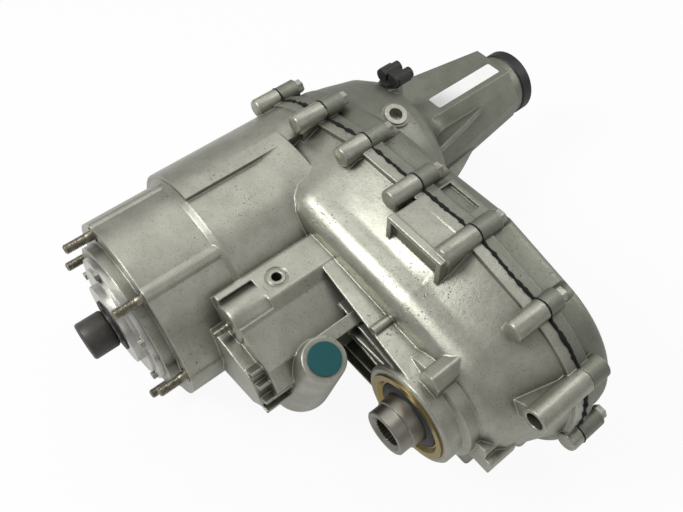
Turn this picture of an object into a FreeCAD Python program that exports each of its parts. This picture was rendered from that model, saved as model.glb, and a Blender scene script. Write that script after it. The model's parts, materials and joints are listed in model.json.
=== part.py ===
import FreeCAD, Part
import math
import os

# Transfer case with a chain-driven front output, modelled in millimetres.
# Origin: centre of the transmission mounting face, on the main shaft axis.
# +Y runs rearward along the main shaft, +X towards the front output, +Z up.

V = FreeCAD.Vector
ALONG = V(0, 1, 0)

# Driving dimensions of the castings
STUD_CIRCLE = 92.0
STUD_COUNT = 6
NECK_RADIUS = 100.0
NECK_LENGTH = 80.0
DRUM_RADIUS = 104.0
JACKET_RADIUS = 110.0
BODY_FRONT = 160.0
SEAM = 245.0
SEALANT = 0.6
FRONT_JOINT = SEAM - SEALANT / 2
REAR_JOINT = SEAM + SEALANT / 2
REAR_DEPTH = 44.0
WALL = 8.0
RIM_STEP = 4.0
RIM_WIDTH = 12.0
DOME_DRAFT = 20.0
DOME_FILLET = 30.0
REAR_FILLET = 12.0
DOME_STEPS = 4
RIM_RISE = 8.0
MAIN_RIM = DRUM_RADIUS + RIM_RISE
LOBE_RIM = 102.0
OUTPUT_X = 260.0
OUTPUT_Z = 14.0
FOOT_REACH = 4.0
FLOOR = -(MAIN_RIM + FOOT_REACH)
TAIL_LENGTH = 293.0
TAIL_END = SEAM + TAIL_LENGTH
TAIL_RADIUS = 38.0

# Clearances
RUNNING = 0.05
SLIDING = 0.3

# Seam flange outline as a belt round four circles, each x, z, radius,
# share of the dome's draft and share of the dome's rounding
RIM_CIRCLES = (
    (OUTPUT_X, OUTPUT_Z, LOBE_RIM, 1.0, 1.0),
    (200.0, 73.0, 60.0, 1.4, 0.8),
    (65.0, 62.0, 68.0, 1.0, 1.0),
    (0.0, 0.0, MAIN_RIM, 1.0, 1.0),
)

# Planetary gear set
ROLLER_SHARE = 0.26
MODULE = 2.6
SUN_TEETH = 30
RING_TEETH = 54
PLANET_TEETH = 12
PLANET_COUNT = 4
TOOTH_TOP = 1.7
TOOTH_ROOT = 2.3
TOOTH_HALF = 1.55
TOOTH_SLOPE = 0.40
SUN_PITCH = MODULE * SUN_TEETH / 2
PLANET_PITCH = MODULE * PLANET_TEETH / 2
PLANET_ORBIT = SUN_PITCH + PLANET_PITCH
RING_OUTER = 80.0
RING_FRONT = 34.0
RING_WIDTH = 30.0
PLANET_FRONT = 37.0
PLANET_WIDTH = 24.0
PIN_RADIUS = 6.0
CARRIER_RADIUS = 66.0
PLATE = 7.0

# Input side
BEARING_OUTER = 45.0
BEARING_INNER = 25.0
INPUT_BEARING_FRONT = -10.0
INPUT_BEARING_WIDTH = 20.0
REGISTER_RADIUS = 80.0
REGISTER_DEPTH = 12.0
INPUT_NOSE = 19.0
INPUT_BORE = 13.0
CAP_RADIUS = 20.0
INPUT_END = -30.0
CAP_FRONT = -58.0
CAP_DEPTH = -8.0

# Clutch parts on the main shaft
SHAFT_RADIUS = 21.0
LOW_TRAVEL = 12.0
CLUTCH_TIP = 38.0
CLUTCH_WIDTH = 7.0
CUP_FRONT = 64.0
CUP_DEPTH = 13.0
HUB_FRONT = 69.0
RANGE_GROOVE = 100.0
GROOVE_WIDTH = 8.0
MODE_HUB_FRONT = SEAM - 80.0
MODE_HUB_WIDTH = 20.0
SLEEVE_FRONT = MODE_HUB_FRONT + 7.0
SLEEVE_WIDTH = 24.0
MODE_GROOVE = SLEEVE_FRONT + 8.0
MODE_HUB_RADIUS = 44.0
SLEEVE_RADIUS = 54.0

# Chain drive
LINK_COUNT_STRAIGHT = 22
SPROCKET_TEETH = 32
CHAIN_FRONT = SEAM - 39.0
CHAIN_WIDTH = 28.0
CENTRE_DISTANCE = math.hypot(OUTPUT_X, OUTPUT_Z)
PITCH = CENTRE_DISTANCE / LINK_COUNT_STRAIGHT
SPROCKET_PITCH = PITCH / (2 * math.sin(math.pi / SPROCKET_TEETH))

# Front output
OUTPUT_FACE = 129.0
OUTPUT_HOUSING = 52.0
OUTPUT_SLEEVE = 23.0
OUTPUT_MOUTH = 102.0
OUTPUT_SPLINE = 15.5
OUTPUT_BEARING_FRONT = 142.0
OUTPUT_BEARING_WIDTH = 18.0
OUTPUT_BEARING_OUTER = 40.0
OUTPUT_SHAFT = 25.0
OUTPUT_REAR_JOURNAL = 17.0
REAR_SEAT_FRONT = SEAM + 14.0
REAR_SEAT_WIDTH = 14.0
REAR_SEAT_RADIUS = 30.0

# Shift mechanism
RAIL_X = 100.0
RAIL_Z = 20.0
RAIL_RADIUS = 8.0
RAIL_FRONT = 56.0
RAIL_BACK = SEAM + 32.0
SHIFT_TILT = 68.0
PLUG_X = 188.0
PLUG_Y = 93.0
PLUG_Z = 60.0
PLUG_RADIUS = 15.3
TOWER_DEPTH = 112.0
TOWER_TOP = 20.5
TOWER_BOTTOM = 33.0
SECTOR_DEPTH = 48.0
SECTOR_PLATE = 6.0
SECTOR_RADIUS = 52.0
SECTOR_TURN = 40.0
SECTOR_SHAFT = 9.0
PIN_REACH = 38.0
FORK_PIN = 4.0

# Rear output
PUMP_FLANGE = 86.0
PUMP_FRONT = SEAM + 41.0
PUMP_WIDTH = 14.0
REAR_BEARING_FRONT = SEAM + 77.0
REAR_BEARING_WIDTH = 18.0
TAIL_BORE = 30.0
REAR_SHAFT = 17.0

# Fasteners
BOLT_RADIUS = 4.0
BOLT_HEAD = 7.5
BOLT_HEAD_HEIGHT = 8.0
STUD_RADIUS = 5.0
STUD_TAP = 0.3
SMALL_STUD = 4.0
BOSS_RADIUS = 10.5
WEB_DEPTH = 30.0

# Seam bolts: x, z, reach of the boss ahead of the seam and behind it
SEAM_BOSSES = (
    (-83.0, 83.0, 30.0, 23.0),
    (-5.0, 121.0, 35.0, 22.0),
    (62.0, 129.0, 32.0, 23.0),
    (132.0, 132.0, 34.0, 21.0),
    (206.0, 131.0, 41.0, 25.0),
    (288.0, 112.0, 37.0, 17.0),
    (364.0, -8.0, 15.0, 27.0),
    (322.0, -68.0, 23.0, 23.0),
    (235.0, -90.0, 23.0, 23.0),
    (130.0, -101.0, 23.0, 23.0),
    (25.0, -105.4, 23.0, 23.0),
    (-72.0, -86.0, 23.0, 23.0),
    (-113.0, 8.0, 23.0, 23.0),
)

# Tube boss on the lobe side: x, z, reach ahead, reach behind, outer radius, hole radius
TUBE_BOSS = (345.0, 72.0, 60.0, 21.0, 12.0, 8.5)

TILT = math.radians(SHIFT_TILT)
SHIFT_AXIS = V(math.cos(TILT), 0, math.sin(TILT))
SHIFT_ACROSS = V(math.sin(TILT), 0, -math.cos(TILT))
PLUG_CENTRE = V(PLUG_X, PLUG_Y, PLUG_Z)

# Shift housing outline across Y, on the side of the neck
HOUSING_TOP = 78.0
HOUSING_LEFT = 83.0
PAD_EDGE = 118.0
HOUSING_FRONT = 50.0
LOWER_FRONT = 36.0
LOWER_BACK = 104.0
HOUSING_OUTLINE = (
    (50.0, 20.0),
    (HOUSING_LEFT, HOUSING_TOP),
    (PAD_EDGE, HOUSING_TOP),
    (127.0, 67.0),
    (163.0, 49.0),
    (174.0, 26.0),
    (152.0, -26.0),
    (104.0, -50.0),
    (40.0, -62.0),
)
LOWER_OUTLINE = (
    (60.0, 30.0),
    (97.0, 46.0),
    (126.0, 43.0),
    (154.0, 37.0),
    (166.0, 4.0),
    (149.0, -14.0),
    (88.0, -29.0),
    (50.0, -32.0),
)

# Bracket block over the seam, and webs
BRACKET_TOP = 135.0
BRACKET_LEFT = 146.0
BRACKET_RIGHT = 213.0
BRACKET_FRONT = SEAM - 47.0
BRACKET_PLATE = 8.0
LIP = 5.0
RIB_WIDTH = 3.0

# Block that holds the bracket stud
STUD_BLOCK_FRONT = 48.0
STUD_BLOCK_BACK = 90.0
STUD_BLOCK_RADIUS = 20.5
STUD_BLOCK_X = 106.0
STUD_BLOCK_Z = 58.0
STUD_SUNK = 22.0
FIN_WIDTH = 3.0

# Feet: x, y, half width, half length
FOOT_TOP = -60.0
FEET = (
    (0.0, 60.0, 52.0, 16.0),
    (285.0, SEAM - 40.0, 18.0, 20.0),
)
FOOT_BEHIND = (40.0, SEAM + 23.0, 22.0, 10.0)
FOOT_HOLE = 5.0
FOOT_HOLE_X = 38.0

# Bores and drilled pads of the front casting
SEAL_RADIUS = 45.0
PLUG_SPIGOT = 13.0
PAD_HOLE = 5.0
PAD_HOLE_X = 102.0
PAD_HOLE_Y = 106.0
PAD_HOLE_DEPTH = 19.0
PAD_GROOVE = 1.2

# Input bearing retainer and seal
RETAINER_BOLT_CIRCLE = 65.0
RETAINER_BOLT = 3.0
RETAINER_HEAD = 8.0
RETAINER_FRONT = -20.0
RETAINER_RADIUS = 70.0
RETAINER_NOSE = 44.0
NOSE_FRONT = -26.0
SEAL_BORE = 28.0
PILOT_BORE = 17.0
PILOT_SHAFT = 13.0

# Rear casting: radius and y along the main shaft behind the chain room
SEAL_WRAP = 13.0
SEAL_STEP = 2.4
SEAL_DEPTH = 12.0
BUSHING_SUNK = 20.0
BUSHING_WIDTH = 26.0
HORN = (
    (MAIN_RIM - 6, SEAM + REAR_DEPTH - 6),
    (MAIN_RIM - 9, SEAM + 55.0),
    (96.0, SEAM + 87.0),
    (86.0, SEAM + 105.0),
    (66.0, SEAM + 117.0),
    (49.0, SEAM + 131.0),
    (TAIL_RADIUS + 3, SEAM + 143.0),
    (TAIL_RADIUS, SEAM + 155.0),
    (TAIL_RADIUS, TAIL_END - SEAL_WRAP),
    (TAIL_RADIUS - SEAL_STEP, TAIL_END - SEAL_WRAP),
    (TAIL_RADIUS - SEAL_STEP, TAIL_END),
)

# Ledge for the label on the tail
LABEL_LEDGE_FRONT = SEAM + 127.0
LABEL_LEDGE_BACK = TAIL_END - 24.0
LABEL_FACE = 39.0
LEDGE_SLOPE = 0.02

# Filler, drain and sensor
PORT_ANGLE = 73.5
PORT_Y = SEAM + 70.0
PORT_FACE = 102.5
PORT_RADIUS = 9.0
SENSOR_ANGLE = 100.0
SENSOR_Y = SEAM + 103.0
SENSOR_FACE = 93.0
SENSOR_STEM = 5.5
DRAIN_RADIUS = 8.0
DRAIN_X = 150.0
DRAIN_Z = -78.0

# Sealant, bolts and studs
SEALANT_PROUD = 0.8
HEAD_ROOM = 9.5
STUD_REACH = 30.0

# Clutch teeth and low-range ring
CLUTCH_TEETH = 24
CLUTCH_TOOTH = 3.0
SPLINE_EASE = 0.12
CUP_CLEAR = 46.0
LOW_RING_OUTER = 52.0
LOW_RING_FRONT = 80.0
LOW_RING_BACK = 89.0

# Main shaft seats and splines
SHAFT_SPLINE = 2.0
SHAFT_TEETH = 20
CLUTCH_RING = MODE_HUB_FRONT + MODE_HUB_WIDTH + 1
SPROCKET_SEAT = 24.0
SHOULDER_FRONT = SEAM - 8.0
REAR_SEAT = 22.0
SHAFT_END = TAIL_END - 24.0

# Silent chain
CHAIN_HEADING = math.degrees(math.atan2(OUTPUT_Z, OUTPUT_X))
TOOTH_STEP = 360.0 / SPROCKET_TEETH
CHORD_RADIUS = SPROCKET_PITCH * math.cos(math.radians(TOOTH_STEP / 2))
LINK_TOP = 5.0
LINK_TIP = 5.0
DISH_OUTER = 48.0
DISH_INNER = 38.0

# Forks and their pins
RAIL_DISTANCE = math.hypot(RAIL_X, RAIL_Z)
ARM_HALF = 6.0
MODE_PIN_ALONG = 54.0
RANGE_PIN_ALONG = RANGE_GROOVE + GROOVE_WIDTH / 2 - PLUG_Y


def polar(radius, degrees, x=0.0, z=0.0):
    """Point x, z on a circle round an axis that runs along Y."""
    angle = math.radians(degrees)
    return x + radius * math.cos(angle), z + radius * math.sin(angle)


def cylinder(radius, front, back, x=0.0, z=0.0):
    """Solid cylinder along Y."""
    return Part.makeCylinder(radius, back - front, V(x, front, z), ALONG)


def tube(outer, inner, front, back, x=0.0, z=0.0):
    """Plain ring along Y."""
    return cylinder(outer, front, back, x, z).cut(cylinder(inner, front - 1, back + 1, x, z))


def turned(profile, x=0.0, z=0.0):
    """Body of revolution about an axis along Y from radius, y points."""
    points = [V(x + radius, y, z) for radius, y in profile]
    face = Part.Face(Part.makePolygon(points + points[:1]))
    return face.revolve(V(x, 0, z), ALONG, 360)


def rounded_wire(points, radius, y=0.0):
    """Closed outline of x, z points in a plane across Y, with round corners."""
    count = len(points)
    corners = [V(x, y, z) for x, z in points]
    arcs = []
    for index, corner in enumerate(corners):
        before = (corners[index - 1] - corner).normalize()
        after = (corners[(index + 1) % count] - corner).normalize()
        half = before.getAngle(after) / 2
        inward = (before + after).normalize()
        reach = radius / math.tan(half)
        centre = corner + inward * (radius / math.sin(half))
        arcs.append((corner + before * reach, centre - inward * radius, corner + after * reach))
    edges = []
    for index, (start, middle, end) in enumerate(arcs):
        edges.append(Part.Arc(start, middle, end).toShape())
        edges.append(Part.makeLine(end, arcs[(index + 1) % count][0]))
    return Part.Wire(edges)


def prism(points, front, back, radius=0.0):
    """Bar along Y with an outline of x, z points."""
    if radius:
        wire = rounded_wire(points, radius, front)
    else:
        corners = [V(x, front, z) for x, z in points]
        wire = Part.makePolygon(corners + corners[:1])
    return Part.Face(wire).extrude(V(0, back - front, 0))


def belt(inset, y, draft=0.0, rounding=0.0):
    """Outline of the seam flange, drawn in by an inset, as arcs and tangents."""
    circles = []
    for x, z, radius, draft_share, round_share in RIM_CIRCLES:
        drawn_in = inset + draft * draft_share + rounding * round_share
        circles.append((x, z, radius - drawn_in))
    count = len(circles)
    normals = []
    for index, (x, z, radius) in enumerate(circles):
        next_x, next_z, next_radius = circles[(index + 1) % count]
        heading = math.atan2(next_z - z, next_x - x)
        gap = math.hypot(next_x - x, next_z - z)
        normals.append(heading - math.acos((radius - next_radius) / gap))
    edges = []
    for index, (x, z, radius) in enumerate(circles):
        start = normals[index - 1]
        sweep = (normals[index] - start) % (2 * math.pi)
        ends = [start, start + sweep / 2, start + sweep]
        arc = [V(x + radius * math.cos(a), y, z + radius * math.sin(a)) for a in ends]
        edges.append(Part.Arc(*arc).toShape())
        next_x, next_z, next_radius = circles[(index + 1) % count]
        touch = V(
            next_x + next_radius * math.cos(normals[index]),
            y,
            next_z + next_radius * math.sin(normals[index]),
        )
        edges.append(Part.makeLine(arc[2], touch))
    return Part.Wire(edges)


def belt_solid(inset, front, back):
    """Slab along Y with the seam flange outline."""
    return Part.Face(belt(inset, front)).extrude(V(0, back - front, 0))


def domed_solid(inset, flat_end, round_end, radius, draft=0.0):
    """Slab with the flange outline whose sides draw in by a draft and a radius."""
    toward = 1 if round_end > flat_end else -1
    wires = [belt(inset, flat_end)]
    for step in range(DOME_STEPS + 1):
        angle = math.pi / 2 * step / DOME_STEPS
        y = round_end - toward * radius * (1 - math.sin(angle))
        wires.append(belt(inset, y, draft, radius * (1 - math.cos(angle))))
    return Part.makeLoft(wires, True, True)


def blunt_cylinder(radius, blunt_end, flat_end, x=0.0, z=0.0, ease=3.0):
    """Cylinder along Y with one eased end."""
    toward = 1 if flat_end > blunt_end else -1
    return turned([
        (0, blunt_end),
        (radius - ease, blunt_end),
        (radius - ease * 0.3, blunt_end + toward * ease * 0.3),
        (radius, blunt_end + toward * ease),
        (radius, flat_end),
        (0, flat_end),
    ], x, z)


def fused(shapes):
    """One solid from several that overlap."""
    return shapes[0].multiFuse(shapes[1:]).removeSplitter()


def group(shapes):
    """Separate solids kept in one file."""
    return Part.makeCompound(shapes)


def tower(depth, across=0.0, along=0.0):
    """Point measured down the shift shaft from the plug face."""
    return PLUG_CENTRE - SHIFT_AXIS * depth + SHIFT_ACROSS * across + V(0, along, 0)


def tower_cylinder(radius, top, bottom, across=0.0, along=0.0):
    """Cylinder on the shift shaft direction between two depths."""
    return Part.makeCylinder(radius, bottom - top, tower(bottom, across, along), SHIFT_AXIS)


def tower_slab(points, top, bottom):
    """Plate square to the shift shaft from across, along points."""
    corners = [tower(bottom, across, along) for across, along in points]
    face = Part.Face(Part.makePolygon(corners + corners[:1]))
    return face.extrude(SHIFT_AXIS * (bottom - top))


def hexagon(across_flats, front, back, x=0.0, z=0.0):
    """Hexagonal prism along Y."""
    radius = across_flats / math.sqrt(3)
    points = [polar(radius, 60 * step, x, z) for step in range(6)]
    return prism(points, front, back)


def gear_wire(teeth, internal, phase, front):
    """Outline of straight-flanked teeth, with the tooth at the phase angle."""
    pitch_radius = MODULE * teeth / 2
    side = -1 if internal else 1
    tip = pitch_radius + side * TOOTH_TOP
    root = pitch_radius - side * TOOTH_ROOT
    tip_half = (TOOTH_HALF - TOOTH_SLOPE * TOOTH_TOP) / tip
    root_half = (TOOTH_HALF + TOOTH_SLOPE * TOOTH_ROOT) / root
    points = []
    for tooth in range(teeth):
        middle = 2 * math.pi * tooth / teeth + phase
        for radius, offset in ((root, -root_half), (tip, -tip_half), (tip, tip_half), (root, root_half)):
            angle = middle + offset
            points.append(V(radius * math.cos(angle), front, radius * math.sin(angle)))
    return Part.makePolygon(points + points[:1])


def gear_solid(teeth, internal, phase, front, width):
    """Prism with a toothed outline."""
    return Part.Face(gear_wire(teeth, internal, phase, front)).extrude(V(0, width, 0))


def splined(radius, depth, teeth, front, back, x=0.0, z=0.0, ease=0.0):
    """Prism with square splines; the ease widens each spline for a hole."""
    points = []
    quarter = 90.0 / teeth
    for tooth in range(teeth):
        middle = 360.0 * tooth / teeth
        for size, share in ((radius - depth, -1.2), (radius, -0.9), (radius, 0.9), (radius - depth, 1.2)):
            widened = quarter * (share + math.copysign(ease, share))
            points.append(polar(size, middle + widened, x, z))
    return prism(points, front, back)


def stud_angles():
    """Angles of the studs round the main shaft."""
    return [360.0 * index / STUD_COUNT for index in range(STUD_COUNT)]


def front_outside():
    """Outer form of the front casting."""
    parts = [
        cylinder(NECK_RADIUS, 0, NECK_LENGTH + 6),
        cylinder(REGISTER_RADIUS, -REGISTER_DEPTH, 1),
        turned([
            (0, NECK_LENGTH - 6),
            (NECK_RADIUS - 2, NECK_LENGTH - 6),
            (DRUM_RADIUS, NECK_LENGTH + 2),
            (DRUM_RADIUS, BODY_FRONT),
            (DRUM_RADIUS + 6, BODY_FRONT + 40),
            (0, BODY_FRONT + 40),
        ]),
        domed_solid(RIM_STEP, SEAM - RIM_WIDTH + 4, BODY_FRONT, DOME_FILLET, DOME_DRAFT),
        belt_solid(0, SEAM - RIM_WIDTH, FRONT_JOINT),
    ]
    parts.append(neck_jacket())
    parts.extend(stud_ridges())
    parts.extend(shift_housing())
    parts.extend(output_housing())
    parts.extend(front_bosses())
    parts.extend(front_webs())
    parts.append(bracket_block())
    parts.extend(front_feet())
    return fused(parts)


def neck_jacket():
    """Raised band that runs the length of the drum on its left upper side."""
    points = [(0.0, 60.0), (-4.0, JACKET_RADIUS - 1.5)]
    points += [polar(JACKET_RADIUS, angle) for angle in (101, 110, 119, 128, 137, 146, 155, 164)]
    points += [(-60.0, 0.0)]
    return prism(points, NECK_LENGTH + 2, SEAM - RIM_WIDTH + 2)


def stud_ridges():
    """Half-round ridges that carry the adapter studs along the neck."""
    ridges = []
    for angle in stud_angles():
        x, z = polar(STUD_CIRCLE, angle)
        ridges.append(cylinder(BOSS_RADIUS, 0, NECK_LENGTH + 2, x, z))
    return ridges


def shift_housing():
    """Box on the side of the neck that holds the shift mechanism."""
    upper = prism(HOUSING_OUTLINE, HOUSING_FRONT, BODY_FRONT + 12, 4)
    lower = prism(LOWER_OUTLINE, LOWER_FRONT, LOWER_BACK, 5)
    cone = Part.makeCone(
        TOWER_BOTTOM, TOWER_TOP, TOWER_DEPTH, tower(TOWER_DEPTH), SHIFT_AXIS)
    strip = tower_slab([(-TOWER_TOP, 0), (-8, 0), (-8, 62), (-TOWER_TOP, 62)], 3, 18)
    step = prism([(HOUSING_LEFT + 7, 100), (HOUSING_LEFT + 7, 71), (PAD_EDGE + 2, 67), (PAD_EDGE + 30, 100)],
                 HOUSING_FRONT - 1, STUD_BLOCK_BACK - 4)
    stud_block = blunt_cylinder(STUD_BLOCK_RADIUS, STUD_BLOCK_FRONT, STUD_BLOCK_BACK,
                                STUD_BLOCK_X, STUD_BLOCK_Z)
    fins = []
    for inner, outer, back in (
        ((140, 36), (154, 45), PLUG_Y - 14),
        ((148, 26), (164, 34), PLUG_Y - 14),
        ((150, 8), (171, 15), PLUG_Y - 16),
        ((150, -6), (170, -6), PLUG_Y - 20),
    ):
        fins.append(rib(inner, outer, FIN_WIDTH, LOWER_FRONT + 2, back))
    return [upper.cut(step), lower, cone, strip, stud_block] + fins


def rib(inner, outer, width, front, back):
    """Straight wall between two x, z points with a set thickness."""
    heading = V(outer[0] - inner[0], 0, outer[1] - inner[1]).normalize()
    side = V(-heading.z, 0, heading.x) * (width / 2)
    corners = [
        V(inner[0], front, inner[1]) + side,
        V(outer[0], front, outer[1]) + side,
        V(outer[0], front, outer[1]) - side,
        V(inner[0], front, inner[1]) - side,
    ]
    return Part.Face(Part.makePolygon(corners + corners[:1])).extrude(V(0, back - front, 0))


def output_housing():
    """Stepped barrel round the front output."""
    barrel = turned([
        (0, OUTPUT_FACE),
        (OUTPUT_HOUSING - 2, OUTPUT_FACE),
        (OUTPUT_HOUSING, OUTPUT_FACE + 2),
        (OUTPUT_HOUSING, OUTPUT_FACE + 18),
        (OUTPUT_HOUSING + 6, OUTPUT_FACE + 21),
        (OUTPUT_HOUSING + 7, BODY_FRONT + 12),
        (0, BODY_FRONT + 12),
    ], OUTPUT_X, OUTPUT_Z)
    top_x, top_z = polar(OUTPUT_HOUSING + 10, 84, OUTPUT_X, OUTPUT_Z)
    top = prism([
        (top_x - 10, top_z - 14),
        (top_x - 10, top_z + 5),
        (top_x + 3, top_z + 11),
        (top_x + 12, top_z + 2),
        (top_x + 12, top_z - 14),
    ], OUTPUT_FACE + 12, BODY_FRONT + 36, 3.5)
    lugs = []
    for angle, reach in ((-4, 62), (-14, 72)):
        lug_x, lug_z = polar(reach, angle, OUTPUT_X, OUTPUT_Z)
        lugs.append(prism([
            (lug_x - 16, lug_z - 9),
            (lug_x + 9, lug_z - 9),
            (lug_x + 9, lug_z + 9),
            (lug_x - 16, lug_z + 9),
        ], OUTPUT_FACE + 28, BODY_FRONT + 30, 2.5))
    return [barrel, top] + lugs


def front_bosses():
    """Bolt bosses on the front half of the seam."""
    bosses = []
    for x, z, ahead, _ in SEAM_BOSSES:
        bosses.append(blunt_cylinder(BOSS_RADIUS, SEAM - ahead, FRONT_JOINT, x, z))
        bosses.append(boss_web(x, z, SEAM - ahead + 5))
    x, z, ahead, _, outer, _ = TUBE_BOSS
    bosses.append(cylinder(outer, SEAM - ahead, FRONT_JOINT, x, z))
    bosses.append(boss_web(x, z, SEAM - ahead + 5))
    return bosses


def boss_web(x, z, front):
    """Web that joins a seam boss to the drafted side of the casting."""
    foot_x = min(max(x, 0.0), OUTPUT_X)
    foot_z = OUTPUT_Z * foot_x / OUTPUT_X
    share = WEB_DEPTH / math.hypot(x - foot_x, z - foot_z)
    inner = (x + (foot_x - x) * share, z + (foot_z - z) * share)
    return rib(inner, (x, z), 2 * BOSS_RADIUS - 5, front, FRONT_JOINT)


def front_webs():
    """Cast ribs between the shift housing and the front output."""
    reach = OUTPUT_HOUSING - 2
    webs = []
    for angle, inner, front in (
        (98, (112.0, 76.0), 146.0),
        (122, (150.0, 55.0), 140.0),
        (140, (160.0, 46.0), 132.0),
        (158, (166.0, 34.0), 136.0),
        (186, (166.0, 8.0), 134.0),
        (214, (150.0, -22.0), 136.0),
    ):
        outer = polar(reach, angle, OUTPUT_X, OUTPUT_Z)
        webs.append(blade(inner, outer, RIB_WIDTH, front, OUTPUT_FACE + 5, BODY_FRONT + 4))
    boss_x, boss_z = 198.0, 70.0
    webs.append(cylinder(5, OUTPUT_FACE + 10, BODY_FRONT + 6, boss_x, boss_z))
    return webs


def blade(inner, outer, width, front_in, front_out, back):
    """Thin wall between two x, z points with a front edge that slopes."""
    corners = [
        V(inner[0], front_in, inner[1]),
        V(outer[0], front_out, outer[1]),
        V(outer[0], back, outer[1]),
        V(inner[0], back, inner[1]),
    ]
    heading = V(outer[0] - inner[0], 0, outer[1] - inner[1]).normalize()
    side = V(-heading.z, 0, heading.x) * width
    wall = Part.Face(Part.makePolygon(corners + corners[:1])).extrude(side)
    wall.translate(side * -0.5)
    return wall


def bracket_block():
    """Rectangular pad that stands up at the seam."""
    plate = prism([
        (BRACKET_LEFT, 80.0),
        (BRACKET_LEFT, BRACKET_TOP),
        (BRACKET_RIGHT, BRACKET_TOP),
        (BRACKET_RIGHT, 80.0),
    ], BRACKET_FRONT, BRACKET_FRONT + BRACKET_PLATE)
    body = prism([
        (BRACKET_LEFT, 80.0),
        (BRACKET_LEFT, BRACKET_TOP - 3),
        (BRACKET_RIGHT, BRACKET_TOP - 3),
        (BRACKET_RIGHT, 80.0),
    ], BRACKET_FRONT + 2, FRONT_JOINT)
    recess = prism([
        (BRACKET_LEFT + LIP, 90.0),
        (BRACKET_LEFT + LIP, BRACKET_TOP - LIP),
        (BRACKET_RIGHT - LIP, BRACKET_TOP - LIP),
        (BRACKET_RIGHT - LIP, 90.0),
    ], BRACKET_FRONT - 1, BRACKET_FRONT + LIP)
    return plate.fuse(body).cut(recess)


def foot(x, y, half_width, half_length):
    """Cast pad with a flat underside at floor level."""
    block = Part.makeBox(2 * half_width, 2 * half_length, FOOT_TOP - FLOOR,
                         V(x - half_width, y - half_length, FLOOR))
    upright = [edge for edge in block.Edges if edge.BoundBox.ZLength > 1]
    return block.makeFillet(4, upright)


def front_feet():
    """Pads under the neck and under the lobe."""
    return [foot(*place) for place in FEET]


def sector_fan(reach, first, last):
    """Outline of a fan round the shift shaft, as across, along points."""
    points = [(0.0, 0.0)]
    steps = 5
    for step in range(steps + 1):
        angle = math.radians(first + (last - first) * step / steps)
        points.append((reach * math.cos(angle), reach * math.sin(angle)))
    return points


def front_inside():
    """Hollow of the front casting."""
    skin = RIM_STEP + WALL
    hollow = [
        cylinder(RING_OUTER, RING_FRONT - 14, RING_FRONT + RING_WIDTH + 4),
        cylinder(DRUM_RADIUS - WALL, RING_FRONT + RING_WIDTH + 3, BODY_FRONT + 20),
        domed_solid(skin, SEAM - RIM_WIDTH, BODY_FRONT + WALL, DOME_FILLET - WALL, DOME_DRAFT),
        belt_solid(skin, SEAM - RIM_WIDTH, SEAM + 1),
        cylinder(BEARING_INNER + 12, INPUT_BEARING_FRONT, RING_FRONT),
        cylinder(BEARING_OUTER, -REGISTER_DEPTH - 1, INPUT_BEARING_FRONT + INPUT_BEARING_WIDTH),
    ]
    upper = [(84.0, 36.0), (92.0, 60.0), (113.0, 60.0), (152.0, 42.0), (164.0, 24.0),
             (144.0, -20.0), (100.0, -41.0), (70.0, -47.0)]
    lower = [(90.0, 12.0), (102.0, 37.0), (122.0, 35.0), (147.0, 29.0), (156.0, 6.0),
             (144.0, -6.0), (104.0, -16.0), (90.0, -12.0)]
    hollow.append(prism(upper, RING_FRONT + RING_WIDTH + 3, BODY_FRONT + 14, 4))
    hollow.append(prism(lower, LOWER_FRONT + 18, RING_FRONT + RING_WIDTH + 8, 4))
    rail_boss = cylinder(RAIL_RADIUS + 5, RAIL_FRONT, RAIL_FRONT + 16, RAIL_X, RAIL_Z)
    hollow.append(tower_slab(sector_fan(SECTOR_RADIUS + 2, 84, 208), SECTOR_DEPTH - SECTOR_PLATE - 3,
                             SECTOR_DEPTH + 3))
    hollow.append(tower_cylinder(18, SECTOR_DEPTH - SECTOR_PLATE - 5, SECTOR_DEPTH + 5))
    room = fused(hollow).cut(rail_boss)
    pad_boss = Part.makeCylinder(PAD_HOLE + WALL - 2, PAD_HOLE_DEPTH + WALL,
                                 V(PAD_HOLE_X, PAD_HOLE_Y, HOUSING_TOP - PAD_HOLE_DEPTH - WALL / 2))
    tower_core = fused([
        tower_cylinder(SECTOR_SHAFT + 7, 0, 30),
        tower_cylinder(SECTOR_SHAFT + 7, 78, TOWER_DEPTH),
    ])
    return room.cut(tower_core).cut(pad_boss)


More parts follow.
